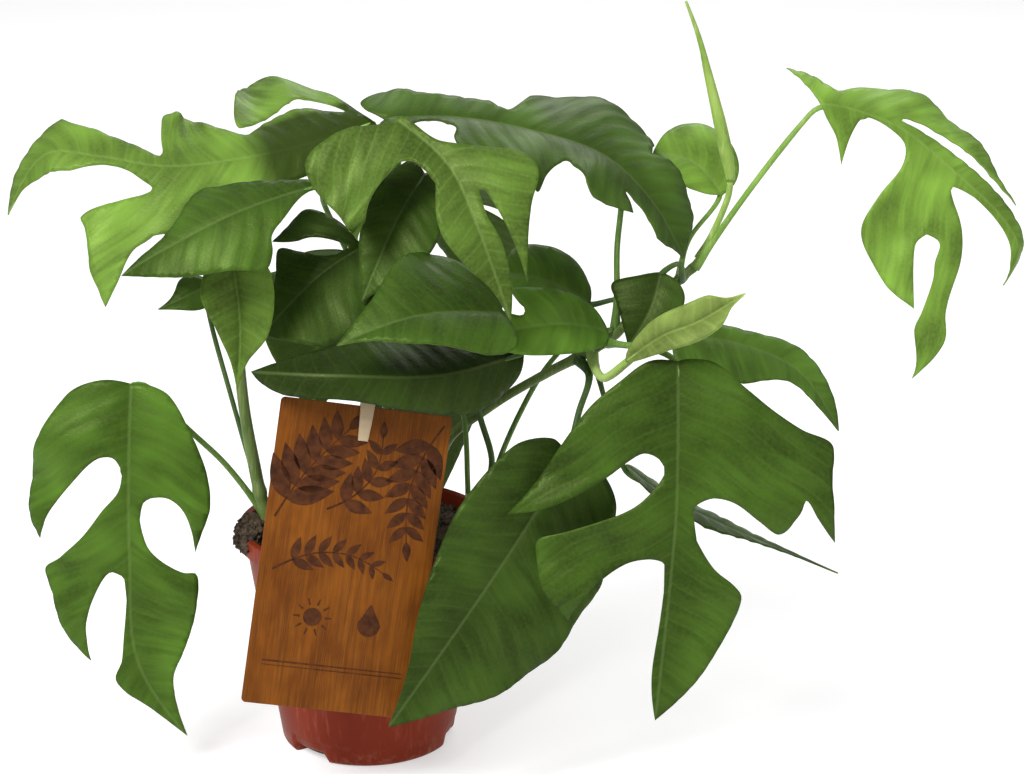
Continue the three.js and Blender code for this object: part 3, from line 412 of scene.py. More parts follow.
def tube(path, radius, sides=14, step=2.5):
    """A round tube's points, faces and (round, along) map; radius takes a share, a length and an angle."""
    length = path_length(path)
    rings = max(3, math.ceil(length / step))
    shares = np.linspace(0, 1, rings + 1)
    centres = spline(path, shares)
    alongs = unit(spline(path, np.minimum(shares + 0.01, 1)) - spline(path, np.maximum(shares - 0.01, 0)))
    normal = np.array([0.31, 0.17, 0.93])
    points, faces, uv = [], [], []
    for i, (centre, along) in enumerate(zip(centres, alongs)):
        normal = unit(normal - along * (normal @ along))
        side = np.cross(along, normal)
        for k in range(sides):
            a = 2 * math.pi * k / sides
            r = radius(shares[i], shares[i] * length, a)
            points.append(centre + normal * r * math.cos(a) + side * r * math.sin(a))
            uv.append((k / sides, shares[i] * length / 100))
            if i:
                p, q = (i - 1) * sides + k, (i - 1) * sides + (k + 1) % sides
                faces.append((p, q, q + sides, p + sides))
    faces.append(tuple(range(sides))[::-1])
    faces.append(tuple(rings * sides + k for k in range(sides)))
    return np.array(points), faces, np.array(uv)


def tube_part(slot, *shape):
    """A tube as one part of a mesh, with its map twice over."""
    points, faces, uv = tube(*shape)
    return points, faces, [slot] * len(faces), uv, uv


def joined(parts):
    """Joins parts: their points, their faces, and each further list or map that they have."""
    points, _, *more = zip(*parts)
    faces = []
    start = 0
    for part in parts:
        faces += [tuple(i + start for i in face) for face in part[1]]
        start += len(part[0])
    return np.vstack(points), faces, *(np.concatenate(arrays) for arrays in more)


def between(radii):
    """Radius at a share of the length, between evenly spaced radii."""
    return lambda s: float(np.interp(s * (len(radii) - 1), range(len(radii)), radii))


def new_object(name, points, faces, slots=None, maps=None, rounded=True):
    """A mesh object from points in millimetres, with face material slots and per-point UV maps."""
    mesh = bpy.data.meshes.new(name)
    mesh.from_pydata([tuple(p) for p in np.asarray(points) * MM], [], [tuple(map(int, f)) for f in faces])
    if slots is not None:
        mesh.polygons.foreach_set("material_index", slots)
    corners = np.zeros(len(mesh.loops), int)
    mesh.loops.foreach_get("vertex_index", corners)
    for key, uv in (maps or {}).items():
        layer = mesh.uv_layers.new(name=key)
        layer.data.foreach_set("uv", np.asarray(uv, float)[corners].ravel())
    if rounded:
        mesh.shade_smooth()
    obj = bpy.data.objects.new(name, mesh)
    bpy.context.collection.objects.link(obj)
    return obj


def dress(obj, slot, materials, *nodes):
    """Gives a piece its materials and the nodes that it replaces; the slot argument is not used."""
    for material in materials:
        obj.data.materials.append(material)
    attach(obj, "root")
    if nodes:
        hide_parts(*nodes)


class Paint:
    """A node material, built around its Principled shader."""

    def __init__(self, name, **constants):
        self.material = bpy.data.materials.new(name)
        self.material.use_nodes = True
        self.tree = self.material.node_tree
        self.shader = self.tree.nodes["Principled BSDF"]
        for key, value in constants.items():
            self.shader.inputs[key.replace("_", " ")].default_value = value

    def node(self, kind, inputs, output=0, **properties):
        made = self.tree.nodes.new("ShaderNode" + kind)
        for key, value in properties.items():
            setattr(made, key, value)
        for key, value in inputs.items():
            if isinstance(value, bpy.types.NodeSocket):
                self.tree.links.new(value, made.inputs[key])
            else:
                made.inputs[key].default_value = value
        return made.outputs[output]

    def map(self, name):
        return self.node("UVMap", {}, uv_map=name)

    def stretch(self, vector, scale):
        return self.node("Mapping", {"Vector": vector, "Scale": scale})

    def place(self, scale=(1, 1, 1)):
        return self.stretch(self.node("TexCoord", {}, output="Object"), scale)

    def noise(self, vector, scale, detail=4.0, rough=0.55):
        inputs = {"Vector": vector, "Scale": scale, "Detail": detail, "Roughness": rough}
        return self.node("TexNoise", inputs, output="Fac")

    def cells(self, vector, scale, edge):
        inputs = {"Vector": vector, "Scale": scale}
        away = self.node("TexVoronoi", inputs, output="Distance", feature="DISTANCE_TO_EDGE")
        return self.span(away, 0.0, edge)

    def span(self, value, low, high, start=0.0, end=1.0):
        inputs = {"Value": value, "From Min": low, "From Max": high, "To Min": start, "To Max": end}
        return self.node("MapRange", inputs, clamp=True)

    def math(self, operation, a, b):
        return self.node("Math", {0: a, 1: b}, operation=operation)

    def mix(self, share, under, over):
        under, over = ((*c, 1) if isinstance(c, tuple) else c for c in (under, over))
        return self.node("Mix", {0: share, 6: under, 7: over}, output=2, data_type="RGBA")

    def lay(self, under, over, value, low, high, start=0.0, end=1.0):
        """Lays a colour over another, start to end strong as the value goes from low to high."""
        return self.mix(self.span(value, low, high, start, end), under, over)

    def parts(self, vector):
        return self.node("SeparateXYZ", {"Vector": vector}).node.outputs

    def finish(self, colour, rough, height=None, depth=0.0002, strength=0.5):
        self.tree.links.new(colour, self.shader.inputs["Base Color"])
        self.tree.links.new(rough, self.shader.inputs["Roughness"])
        if height is not None:
            inputs = {"Height": height, "Distance": depth, "Strength": strength}
            self.tree.links.new(self.node("Bump", inputs), self.shader.inputs["Normal"])
        return self.material


def mixed(a, b, t):
    return tuple(x + (y - x) * t for x, y in zip(a, b))


def shaded(colour, k):
    return tuple(c * k for c in colour)


# Leaf tones: upper face, vein and under face
TONES = {
    "leaf_bright": ((0.092, 0.172, 0.022), (0.20, 0.31, 0.07), (0.13, 0.22, 0.04)),
    "leaf_mid": ((0.030, 0.066, 0.0065), (0.09, 0.155, 0.03), (0.063, 0.115, 0.021)),
    "leaf_dark": ((0.021, 0.044, 0.0055), (0.06, 0.10, 0.022), (0.044, 0.075, 0.018)),
    "leaf_pale": ((0.215, 0.305, 0.065), (0.33, 0.42, 0.13), (0.24, 0.34, 0.09)),
}
LEAF_SHEEN = (0.8, 1.0, 0.35, 1)
RIB_LIGHT = (0.45, 0.6, 0.25)


def leaf_upper(leaf):
    upper, vein, _ = TONES[leaf.tone]
    # The leaf's shade factor is partly its own tone and partly painted light and shade
    upper = shaded(upper, leaf.shade)
    paint = Paint(leaf.name + "_upper", Specular_IOR_Level=0.2, Specular_Tint=LEAF_SHEEN)
    veins, sheet = paint.map("veins"), paint.map("sheet")
    phase, out, _ = paint.parts(veins)
    step = paint.math("PINGPONG", phase, 0.5)
    patches = paint.noise(sheet, 2.4, 2.0)
    stripes = paint.noise(paint.stretch(veins, (1.3, 3.0, 1)), 1.0, 2.0)
    specks = paint.noise(sheet, 55.0, 5.0)
    # Broad patches, partly the leaf's own uneven tone and partly painted light and shade
    colour = paint.lay(shaded(upper, 0.42), shaded(upper, 1.6), patches, 0.34, 0.66)
    # Bands along the veins: painted shade in the dark ones and a painted sheen in the light ones
    colour = paint.lay(colour, shaded(upper, 0.35), stripes, 0.5, 0.7, 0.0, 0.55)
    colour = paint.lay(colour, shaded(upper, 1.8), stripes, 0.3, 0.48, 0.45, 0.0)
    # Painted shade in the furrows along the veins
    colour = paint.lay(colour, shaded(upper, 0.6), step, 0.05, 0.5, 0.22, 0.0)
    colour = paint.lay(colour, mixed(upper, vein, 0.6), specks, 0.35, 0.75, 0.0, 0.3)
    # Painted shade along the midrib
    colour = paint.lay(colour, shaded(upper, 0.5), out, 0.0, 0.15, 0.4, 0.0)
    colour = paint.lay(colour, vein, step, 0.0, 0.10, 0.12, 0.0)
    colour = paint.lay(colour, mixed(vein, RIB_LIGHT, 0.35), out, 0.003, 0.010, 0.13, 0.0)
    # Painted shade darkens the blade by its stalk, near the midrib
    if leaf.painted_base_shade:
        along = paint.span(paint.parts(sheet)[0], 0.5, 0.62, leaf.painted_base_shade, 0.0)
        base = paint.math("MULTIPLY", along, paint.span(out, 0.17, 0.22, 1.0, 0.0))
        colour = paint.mix(base, colour, shaded(upper, 0.12))
    rough = paint.span(stripes, 0.3, 0.7, 0.32, 0.52)
    height = paint.math("ADD", paint.math("MULTIPLY", paint.cells(sheet, 48.0, 0.12), 0.5), specks)
    return paint.finish(colour, rough, height, 0.00018, 0.35)


def leaf_under(tone):
    _, vein, under = TONES[tone]
    paint = Paint(tone + "_under", Specular_IOR_Level=0.15, Specular_Tint=LEAF_SHEEN)
    veins, sheet = paint.map("veins"), paint.map("sheet")
    phase, out, _ = paint.parts(veins)
    patches = paint.noise(sheet, 7.0, 3.0)
    colour = paint.mix(patches, shaded(under, 0.8), shaded(under, 1.15))
    colour = paint.lay(colour, vein, paint.math("PINGPONG", phase, 0.5), 0.0, 0.09, 0.35, 0.0)
    colour = paint.lay(colour, shaded(vein, 1.3), out, 0.005, 0.016, 0.9, 0.0)
    rough = paint.span(patches, 0.3, 0.7, 0.5, 0.62)
    return paint.finish(colour, rough, paint.cells(sheet, 40.0, 0.15), 0.0002, 0.4)


def stem_paint(name, dark, light, joint):
    paint = Paint(name, Specular_IOR_Level=0.25)
    patches = paint.noise(paint.place(), 45.0, 3.0)
    streak = paint.noise(paint.place((1, 1, 0.08)), 900.0, 3.0)
    colour = paint.lay(dark, light, patches, 0.35, 0.65)
    colour = paint.lay(colour, joint, streak, 0.5, 0.7, 0.0, 0.45)
    return paint.finish(colour, paint.span(streak, 0.3, 0.7, 0.36, 0.52), streak, 0.0003, 0.3)


def pot_paint():
    paint = Paint("pot_plastic", Specular_IOR_Level=0.1)
    place = paint.place()
    height = paint.parts(place)[2]
    clouds = paint.noise(place, 28.0, 4.0)
    scratches = paint.noise(paint.place((1, 1, 0.06)), 420.0, 4.0)
    grain = paint.noise(place, 2600.0, 2.0)
    dust = paint.noise(place, 120.0, 6.0, 0.7)
    colour = paint.lay((0.14, 0.013, 0.003), (0.192, 0.024, 0.006), clouds, 0.3, 0.7)
    colour = paint.lay(colour, (0.5, 0.16, 0.11), scratches, 0.56, 0.75, 0.0, 0.18)
    grime = paint.math("MULTIPLY", paint.span(height, 0.095, 0.108), paint.span(dust, 0.52, 0.7, 0, 0.8))
    colour = paint.mix(grime, colour, (0.06, 0.035, 0.022))
    scuffs = paint.math("MULTIPLY", paint.span(height, 0.012, 0.0), paint.span(dust, 0.5, 0.7, 0, 0.6))
    colour = paint.mix(scuffs, colour, (0.3, 0.19, 0.14))
    relief = paint.math("ADD", paint.math("MULTIPLY", grain, 0.4), scratches)
    return paint.finish(colour, paint.span(clouds, 0.3, 0.7, 0.38, 0.5), relief, 0.00012, 0.3)


def soil_paint():
    paint = Paint("potting_mix", Specular_IOR_Level=0.25)
    place = paint.place()
    crumbs = paint.noise(place, 380.0, 8.0, 0.7)
    fibres = paint.noise(paint.place((1, 0.12, 1)), 900.0, 4.0)
    damp = paint.noise(place, 60.0, 3.0)
    colour = paint.lay((0.016, 0.011, 0.007), (0.12, 0.083, 0.052), crumbs, 0.35, 0.65)
    colour = paint.lay(colour, (0.20, 0.13, 0.07), fibres, 0.64, 0.72, 0.0, 0.7)
    return paint.finish(colour, paint.span(damp, 0.3, 0.7, 0.7, 0.95), crumbs, 0.0012, 0.9)


def card_paint():
    paint = Paint("card_wood_print", Specular_IOR_Level=0.1)
    board = paint.map("board")
    bands = paint.noise(paint.stretch(board, (5.0, 3.0, 1)), 1.0, 3.0)
    grain = paint.noise(paint.stretch(board, (48.0, 1.6, 1)), 1.0, 6.0, 0.6)
    fine = paint.noise(paint.stretch(board, (230.0, 5.0, 1)), 1.0, 4.0, 0.6)
    colour = paint.lay((0.106, 0.028, 0.002), (0.207, 0.064, 0.005), bands, 0.35, 0.65)
    colour = paint.lay(colour, (0.075, 0.022, 0.004), grain, 0.42, 0.66, 0.0, 0.6)
    colour = paint.lay(colour, (0.27, 0.10, 0.015), fine, 0.5, 0.7, 0.0, 0.4)
    return paint.finish(colour, paint.span(fine, 0.3, 0.7, 0.42, 0.55), grain, 0.0001, 0.25)


def print_paint():
    paint = Paint("card_dark_print", Specular_IOR_Level=0.1)
    patches = paint.noise(paint.place(), 260.0, 5.0)
    colour = paint.lay((0.032, 0.010, 0.004), (0.086, 0.027, 0.008), patches, 0.3, 0.7)
    return paint.finish(colour, paint.span(patches, 0.3, 0.7, 0.5, 0.65), patches, 0.00005, 0.2)


def clip_paint():
    paint = Paint("clip_plastic", Specular_IOR_Level=0.5)
    clouds = paint.noise(paint.place(), 160.0, 4.0)
    colour = paint.mix(clouds, (0.35, 0.25, 0.14), (0.48, 0.37, 0.23))
    return paint.finish(colour, paint.span(clouds, 0.3, 0.7, 0.35, 0.5), clouds, 0.0001, 0.2)


# Stems: paths from inside the soil upwards, and radii spaced evenly along them
STEMS = {
    "stem_left": ([[-40, -4, 57.4], [-44, -7, 99.4], [-50, -11, 135.4], [-55, -14, 175.4],
        [-56, -12, 210.4], [-50, -4, 240.4], [-40, 4, 257.4]], [3, 3, 2.8, 2.4, 2.2]),
    "stem_middle": ([[6, 10, 57.4], [8, 12, 99.4], [11, 16, 165.4], [12, 20, 225.4], [10, 22, 279.4]],
        [3.2, 3, 2.8, 2.4]),
    "stem_right": ([[30, 10, 57.4], [32, 9, 99.4], [38, 4, 145.4], [59, -2, 166.4], [87, -7, 185.4],
        [110, -8, 198.4], [129, 0, 212.4], [147, 5, 226.4], [157, 8, 234.4]], [2.6, 2.5, 2.3, 2.2, 2.4, 2]),
}

# Leaves: name, tone, shade of the upper side (partly the leaf's own tone, partly painted light and shade),
# length, the way that side faces, radii of the stalk, paths of the stalk and the midrib, and the halves of
# the flat pattern, left and right. A half gives its lobe margins and the gaps between them by turns, each
# point as (along, out) from the blade's base. A gap ends in its roundness, and the tip of a hooked lobe has
# a third number.
LEAVES = [
    Leaf("leaf_right_large", "leaf_mid", 0.92, 165, [0, -1, 0.4], [1.9, 1.6],
        [[113.5, -10, 200.4], [119, -26, 204.4], [134, -47, 208.4]],
        [[143.3, -57, 206.2], [143.3, -70, 168.6], [142.3, -78, 133.9], [134.4, -84, 43.8]],
        Half([[0, 13], [9, 26], [20, 39], [38, 52], [53, 62], [73, 75, 1], [68, 59], [59, 42], [51, 30],
            [44, 21], [41, 15], [43, 9]], [48.5, 6, 1], [[56, 9.5], [65, 19], [73, 35], [80, 50], [85, 61],
            [96, 60], [109, 55], [121, 44, 1], [114, 41], [102, 33], [92, 21], [89, 11]], [91, 3.5, 1],
            [[104, 2.5], [120, 3], [140, 4], [152, 3]]),
        Half([[-1, 6], [1, 17], [12, 30], [22, 42], [30, 55], [37, 70], [55, 69], [77, 73, 1], [67, 63],
            [60, 57], [65, 55], [74, 47], [69, 37], [62, 26], [60, 17], [62, 11]], [66, 7.5, 1], [[79, 10],
            [91, 19], [97, 28], [102, 32], [114, 30], [128, 24], [146, 15]])),
    Leaf("leaf_left_hanging", "leaf_mid", 1.55, 165, [0, -1, 0.4], [1.6, 1.4],
        [[-46, -8, 113.4], [-64, -12, 141.4], [-83, -15, 162.4], [-98, -20, 182.4]],
        [[-105, -25, 185.4], [-106, -36, 152.4], [-107, -40, 104.4], [-105, -42, 55.4], [-83, -43, 17.4]],
        Half([[-1, 13], [5, 28], [19, 38], [41, 45], [54, 46], [69, 39, 1], [56, 34], [43, 24], [33, 14],
            [32, 7]], [38, 3.5, 1], [[47, 4.5], [55, 11], [67, 20], [77, 31], [84, 39], [95, 34], [109, 29],
            [120, 20, 1], [115, 20], [105, 19], [91, 14], [83, 8.5]], [86, 2.5, 1], [[96, 1.5], [109, 3],
            [122, 6.5], [129, 12], [145, 5]], droop=[45, 35]),
        Half([[0.5, 8], [5, 17], [20, 26], [38, 34], [52, 35], [65, 32], [75, 29, 1], [64, 27], [54, 23],
            [49, 17], [49, 10]], [53, 6, 1], [[59, 5], [71, 8], [78, 14], [83, 23], [84, 29], [95, 29],
            [110, 27], [127, 20], [139, 11]], droop=[35, 35])),
    Leaf("leaf_front_plain", "leaf_dark", 1, 155, [0.25, -1, 0.4], [1.9, 1.5],
        [[100, -9.5, 191.9], [105, -20, 187.4], [100, -36, 175.4]],
        [[95, -50, 157.4], [64.3, -74, 114.4], [13.5, -86, 41.4]],
        Half([[-4, 12], [10, 26], [50, 32], [95, 22], [128, 8]]),
        Half([[-4, 15], [8, 32], [50, 46], [100, 40], [135, 16]])),
    Leaf("leaf_left_long", "leaf_bright", 1.06, 195, [-0.1, -0.35, 0.9], [1.8, 1.5],
        [[8, 23, 257.4], [5, 20, 283.4], [6, 14, 297.4]],
        [[6, 10, 300.4], [-22, 0, 292.4], [-54, -8, 287], [-87, -10, 284], [-119, 3, 285.4],
            [-145, 10, 284.4], [-163, 8, 256.4]],
        Half([[4, 9.5], [5.5, 15], [12, 37], [28, 57], [40, 66, 1], [53, 59], [60, 43], [62, 20], [46, 24],
            [27, 30], [15, 23]], [9, 11.5, 1], [[18, 18], [30, 23], [47, 21], [59, 14], [70, 20], [76, 25],
            [81, 29], [88, 32], [103, 34], [112, 33], [116, 31], [111, 22], [104, 11]], [103, 5.5, 1.5],
            [[116, 9], [125, 11], [133, 13], [141, 15], [149, 16], [153, 18], [156, 21], [159, 17],
            [164, 13], [171, 10], [182, 7.5]], fold=15, droop=[40, 10]),
        Half([[0, 8.5], [14, 14], [40, 16], [79, 26], [88, 34]], [97, 35, 1], [[100, 38], [103, 42],
            [105, 50], [106, 59], [108, 70, 1], [112, 62], [117, 55], [121, 46], [126, 37], [131, 32],
            [120, 23], [110, 18], [104, 15]], [102, 12, 1], [[106, 9], [115, 5], [124, 4], [134, 5],
            [147, 10], [168, 9.5], [180, 3], [188, 1]], fold=-25, droop=[30, 10]),
        frame_end=170, painted_base_shade=0.85),
    Leaf("leaf_left_plain", "leaf_mid", 1.14, 105, [-0.2, -0.6, 0.8], [1.6, 1.3],
        [[9, 19, 185.4], [-5, 14, 231.4], [-17, 7, 262]],
        [[-14, -28, 280.7], [-50.9, -43, 271.7], [-86.9, -48, 254], [-104, -49, 243.5]],
        Half([[5, 4], [28, 13], [40, 19], [53, 26], [62, 21], [70, 13], [82, 6], [94, 3]], fold=5),
        Half([[14, 4], [24, 11], [34, 18], [37, 26], [43, 32], [58, 26], [80, 17], [92, 10]], fold=-5)),
    Leaf("leaf_left_folded", "leaf_bright", 0.78, 70, [0, -1, 0.3], [1.6, 1.3],
        [[-55, -13, 195.4], [-56, -20, 235.4]],
        [[-57, -30, 250.4], [-53, -38, 219.4], [-55, -40, 187.4]],
        Half([[2, 10], [20, 19], [40, 12], [55, 5]], fold=35),
        Half([[2, 10], [15, 20], [40, 16], [55, 5]], fold=35)),
    Leaf("leaf_left_small", "leaf_dark", 1.9, 35, [-0.2, -0.8, 0.6], [1.5, 1.2],
        [[-49, -10, 127.4], [-61, -10, 175.4], [-71, -8, 219.4]],
        [[-68, -10, 229.4], [-80, -18, 224.4], [-92, -20, 219.4]],
        Half([[4, 8], [14, 12], [26, 3]]),
        Half([[4, 8], [14, 12], [26, 5]])),
    Leaf("leaf_top_right", "leaf_dark", 1.75, 170, [0.1, -0.35, 0.93], [1.8, 1.5],
        [[13, 21, 267.4], [18, 15, 287.4]],
        [[12, 5, 302.4], [41, 5, 303.4], [73, 5, 298.4], [110, 0, 287.4], [132, -8, 268.4],
            [148, -10, 240.4]],
        Half([[-2.5, 7.5], [9.5, 7.5], [20, 5], [27, 6.5], [33.5, 11], [33, 20], [36, 27], [46, 30.5],
            [57, 31.5], [66, 32], [75, 38], [82, 44], [84, 31], [87, 24]], [91, 19, 1], [[97, 22],
            [115, 31], [127, 28], [136, 20, 1], [132, 16]], [127, 12, 1], [[143, 13], [154, 13], [164, 4]]),
        Half([[-12, 12], [-4, 21], [6, 24], [17, 17], [35, 16], [48, 15]], [57, 10, 1.5], [[65, 26],
            [77, 38], [90, 42], [103, 43], [112, 40], [118, 34]], [120, 26, 1], [[127, 29], [146, 28],
            [157, 22], [164, 9]])),
    Leaf("leaf_centre_bright", "leaf_bright", 0.58, 117, [-0.1, -0.75, 0.65], [1.7, 1.4],
        [[11, 18, 200.4], [5, 0, 250.4], [6, -15, 293.4]],
        [[17.2, -16, 307.3], [41.1, -34, 290.4], [54, -52, 267.5], [63, -61, 244.5], [69, -64, 226.6]],
        Half([[-4, 8], [-14, 20], [-18, 42], [-6, 51], [14, 54], [40, 56], [56, 54, 1], [27, 41]],
            [23, 12, 6], [[42, 10], [66, 17], [85, 12], [100, 4]]),
        Half([[2, 3], [22, 4], [32, 11], [39, 21], [46, 33], [55, 36], [67, 29], [81, 21], [102, 13, 1],
            [80, 13]], [54, 7, 3], [[68, 6], [82, 8], [100, 6]])),
    Leaf("leaf_centre_upper", "leaf_dark", 1.35, 85, [-0.3, -1, 0.3], [1.5, 1.3],
        [[13, 20, 235.4], [24, 10, 269.4]],
        [[29.8, -3, 279.1], [16.8, -21, 260.1], [1.8, -35, 227]],
        Half([[-4, 11], [4, 16], [25, 20], [50, 16], [70, 7]]),
        Half([[-3, 8], [5, 12], [25, 24], [45, 26], [65, 14]])),
    Leaf("leaf_centre_lower", "leaf_mid", 0.95, 80, [-0.1, -0.6, 0.8], [1.6, 1.3],
        [[43, 2, 57.4], [45, 2, 99.4], [48.5, -4, 118], [48.5, -5, 137], [48, -5, 153], [46.5, -4, 166],
            [44, -3, 174], [43, -3, 185], [48, -10, 207.4], [58, -32, 225.4]],
        [[66, -50, 226.4], [29.3, -70, 231.4], [-7.4, -76, 219.5]],
        Half([[5, 20], [25, 39], [40, 33], [60, 14]]),
        Half([[2, 20], [20, 24], [50, 14], [65, 6]]),
        root=[[48.5, -4.6, 128], [48, -6, 121], [45, -9, 115], [40, -10, 109.5]]),
    Leaf("leaf_over_card", "leaf_dark", 0.64, 125, [-0.1, -0.7, 0.7], [1.8, 1.5],
        [[44, -5, 57.4], [48, -6, 99.4], [58, -7, 130.4], [60, -8, 143.4], [54, -6, 167.4],
            [58, -12, 180.4], [68, -26, 192.4]],
        [[75, -33, 202.9], [37.2, -58, 200], [-6.5, -68, 203], [-47.3, -53, 200]],
        Half([[5, 20], [35, 34], [70, 30], [100, 14]], fold=0),
        Half([[5, 9], [16, 16], [26, 18.5], [39, 17.5], [53, 14.5], [78, 10.5], [108, 9], [119, 5]],
            fold=-40)),
    Leaf("leaf_left_dark", "leaf_dark", 1.05, 75, [-0.3, -0.8, 0.6], [1.6, 1.3],
        [[12, 18, 217.4], [10, 2, 243.4]],
        [[0.7, -10, 246], [-17.3, -20, 235.9], [-33.4, -25, 220.9], [-44.4, -25, 207.8]],
        Half([[-1.5, 11], [3, 29], [9.5, 39], [22, 39], [34, 36, 1], [27, 28], [18, 22], [9.5, 11.5]],
            [6, 3.5, 1], [[14, 4], [21, 9], [28, 20], [34, 29], [45, 18], [57, 10]]),
        Half([[0, 20], [20, 36], [50, 34], [65, 15]])),
    Leaf("leaf_right_inner", "leaf_mid", 2.7, 70, [-0.1, -0.8, 0.6], [1.5, 1.3],
        [[43, 11, 57.4], [49, 8, 95.4], [57, 2, 116.4], [64, 1, 140.4], [74, 0, 164.4], [85, 0, 184.4],
            [97, -1, 198], [110, 0, 202.4], [116, -5, 205.4]],
        [[114, -12, 206.4], [89, -30, 215.4], [51, -38, 210.4]],
        Half([[10, 10], [30, 17], [50, 20]], [45, 6, 3], [[54, 10]]),
        Half([[5, 8], [25, 14], [50, 12]])),
    Leaf("leaf_right_inner_back", "leaf_dark", 3.2, 50, [0.1, -0.5, 0.85], [1.4, 1.2],
        [[123, -2, 208.4], [120, 5, 216.4]],
        [[106, 6, 214.4], [89, 6, 224.4], [64, 1, 231.4]],
        Half([[5, 10], [20, 22], [40, 18]])),
    Leaf("leaf_right_small", "leaf_dark", 1.15, 45, [-0.1, -0.9, 0.5], [1.3, 1.2],
        [[148, 3.5, 226.4], [146, -4, 236.4]],
        [[138, 0, 231.4], [133, -10, 216.4], [123, -14, 199.4]],
        Half([[4, 10], [12, 24], [24, 20]]),
        Half([[4, 10], [12, 16], [24, 14]])),
    Leaf("leaf_far_right", "leaf_bright", 1.45, 140, [0.1, -0.5, 0.85], [1.7, 1.4],
        [[154, 5, 231.9], [180, 4.5, 271.4], [205, 5, 304.4]],
        [[210, 5, 309.4], [223, 5, 307.4], [246, 0, 299.4], [269, -4, 281.4], [292, -8, 260.4],
            [301, -9, 244.4], [295, -9, 227.4]],
        Half([[4, 8], [14, 20], [18, 27, 1], [18, 14]], [22, 3, 2], [[36, 3], [46, 6], [51, 15], [51, 31],
            [54, 46], [63, 54], [83, 61], [101, 60, 1]], [81, 31, 6], [[93, 38], [98, 44], [105, 58],
            [109, 67], [127, 74, 1], [127, 55], [114, 49], [102, 28], [92, 18]], [76, 6, 2], [[87, 3],
            [102, 3], [114, 4], [124, 6]], fold=-35),
        Half([[-8, 15], [-14, 27, 1], [-2, 18]], [8, 10, 1], [[17, 18], [34, 27], [51, 33], [66, 33],
            [80, 27], [92, 20], [106, 14, 1], [88, 15], [66, 16], [50, 11]], [38, 4, 2], [[60, 8], [75, 9],
            [95, 9], [110, 7], [124, 5]], fold=5),
        frame_end=80),
    Leaf("leaf_young", "leaf_pale", 0.73, 66, [0, -0.8, 0.6], [2, 2],
        [[106.5, -11, 195.4], [108, -24, 191.4], [112, -38, 192.4]],
        [[120.1, -52, 204.3], [136.8, -60, 219.1], [152.5, -64, 227], [172.2, -67, 240.8]],
        Half([[6, 4], [26, 9], [50, 9], [58, 3]], fold=45, droop=[60, 30])),
    Leaf("leaf_right_behind", "leaf_dark", 2.9, 95, [0.1, -0.6, 0.8], [1.5, 1.3],
        [[129, -2, 211.4], [137, -6, 212.4]],
        [[143.5, -12, 205], [177.7, -7, 197.9], [202.8, -10, 185.8], [220.9, -17, 159.7]],
        Half([[0, 14], [14, 19], [36, 21], [48, 16], [62, 9], [80, 5]]),
        Half([[2, 9], [14, 9], [36, 9], [60, 12], [80, 7]])),
    Leaf("leaf_right_edge_on", "leaf_dark", 2.0, 110, [0.35, 0.15, 0.92], [1.5, 1.2],
        [[107, -8.5, 193.9], [112, -13, 175.4]],
        [[122, -20, 144.4], [140, -25, 131.4], [166, -25, 117.4], [190, -25, 106.4], [222, -25, 92.4]],
        Half([[4, 8], [20, 15], [50, 15], [80, 5]], fold=5, droop=[15, 15]),
        Half([[4, 8], [20, 15], [50, 12], [80, 4]], fold=5, droop=[15, 15])),
    Leaf("leaf_back_pale", "leaf_bright", 1.55, 38, [0, -0.5, 0.85], [1.2, 1.1],
        [[147, 7.5, 227.4], [152, 18, 242]],
        [[168, 30, 260.4], [155, 40, 273.4], [136, 48, 276.4]],
        Half([[2, 8], [10, 16], [24, 22], [34, 14]]),
        Half([[4, 7], [14, 12], [28, 8]])),
    Leaf("leaf_back_centre", "leaf_mid", 0.7, 125, [-0.1, 0.5, 0.8], [1.6, 1.4],
        [[11.5, 18, 190], [4, 34, 224]],
        [[-4, 42, 228], [-14, 66, 212], [-26, 88, 172], [-30, 92, 128]],
        Half([[-4, 14], [8, 30], [36, 38], [58, 34]], [40, 6, 5], [[64, 34], [88, 26], [108, 12]]),
        Half([[-4, 14], [8, 28], [30, 36], [50, 34]], [34, 6, 5], [[58, 34], [84, 26], [106, 12]])),
    Leaf("leaf_back_tall", "leaf_mid", 1, 85, [0, 0.1, 1], [1.7, 1.4],
        [[117, -4.5, 203.9], [118, 0, 219.4], [118, 4, 241.4], [120, 8, 263.4]],
        [[120, 12, 277.4], [114, 44, 285.4], [104, 86, 273.4]],
        Half([[0, 10], [20, 20], [50, 16]])),
    Leaf("leaf_back_right", "leaf_mid", 1, 120, [0.2, 0.6, 0.7], [1.6, 1.4],
        [[11, 17, 181.4], [24, 32, 243]],
        [[35, 42, 261.4], [46, 68, 247.4], [55, 92, 213.4], [58, 98, 175.4]],
        Half([[-4, 14], [8, 28], [36, 32], [54, 28]], [38, 6, 4], [[60, 28], [84, 22], [106, 10]]),
        Half([[-4, 14], [8, 26], [36, 32], [70, 26], [96, 12]])),
    Leaf("leaf_back_low", "leaf_dark", 1, 100, [-0.1, 0.8, 0.5], [1.6, 1.3],
        [[9, 13, 119.4], [14, 30, 158]],
        [[18, 42, 168], [26, 64, 154], [32, 82, 124], [34, 86, 92]],
        Half([[-4, 12], [10, 26], [40, 30], [70, 16]])),
]

SPIKE_STALK = [[156, 11.6, 234.4], [163, 12.8, 247.4], [169, 11.6, 263.4], [170, 10, 272.4]]
SPIKE_BLADE = [[170, 10, 272.4], [167, 10, 289.4], [159, 10, 321.4], [154, 10, 339.4], [148, 10, 355.4]]


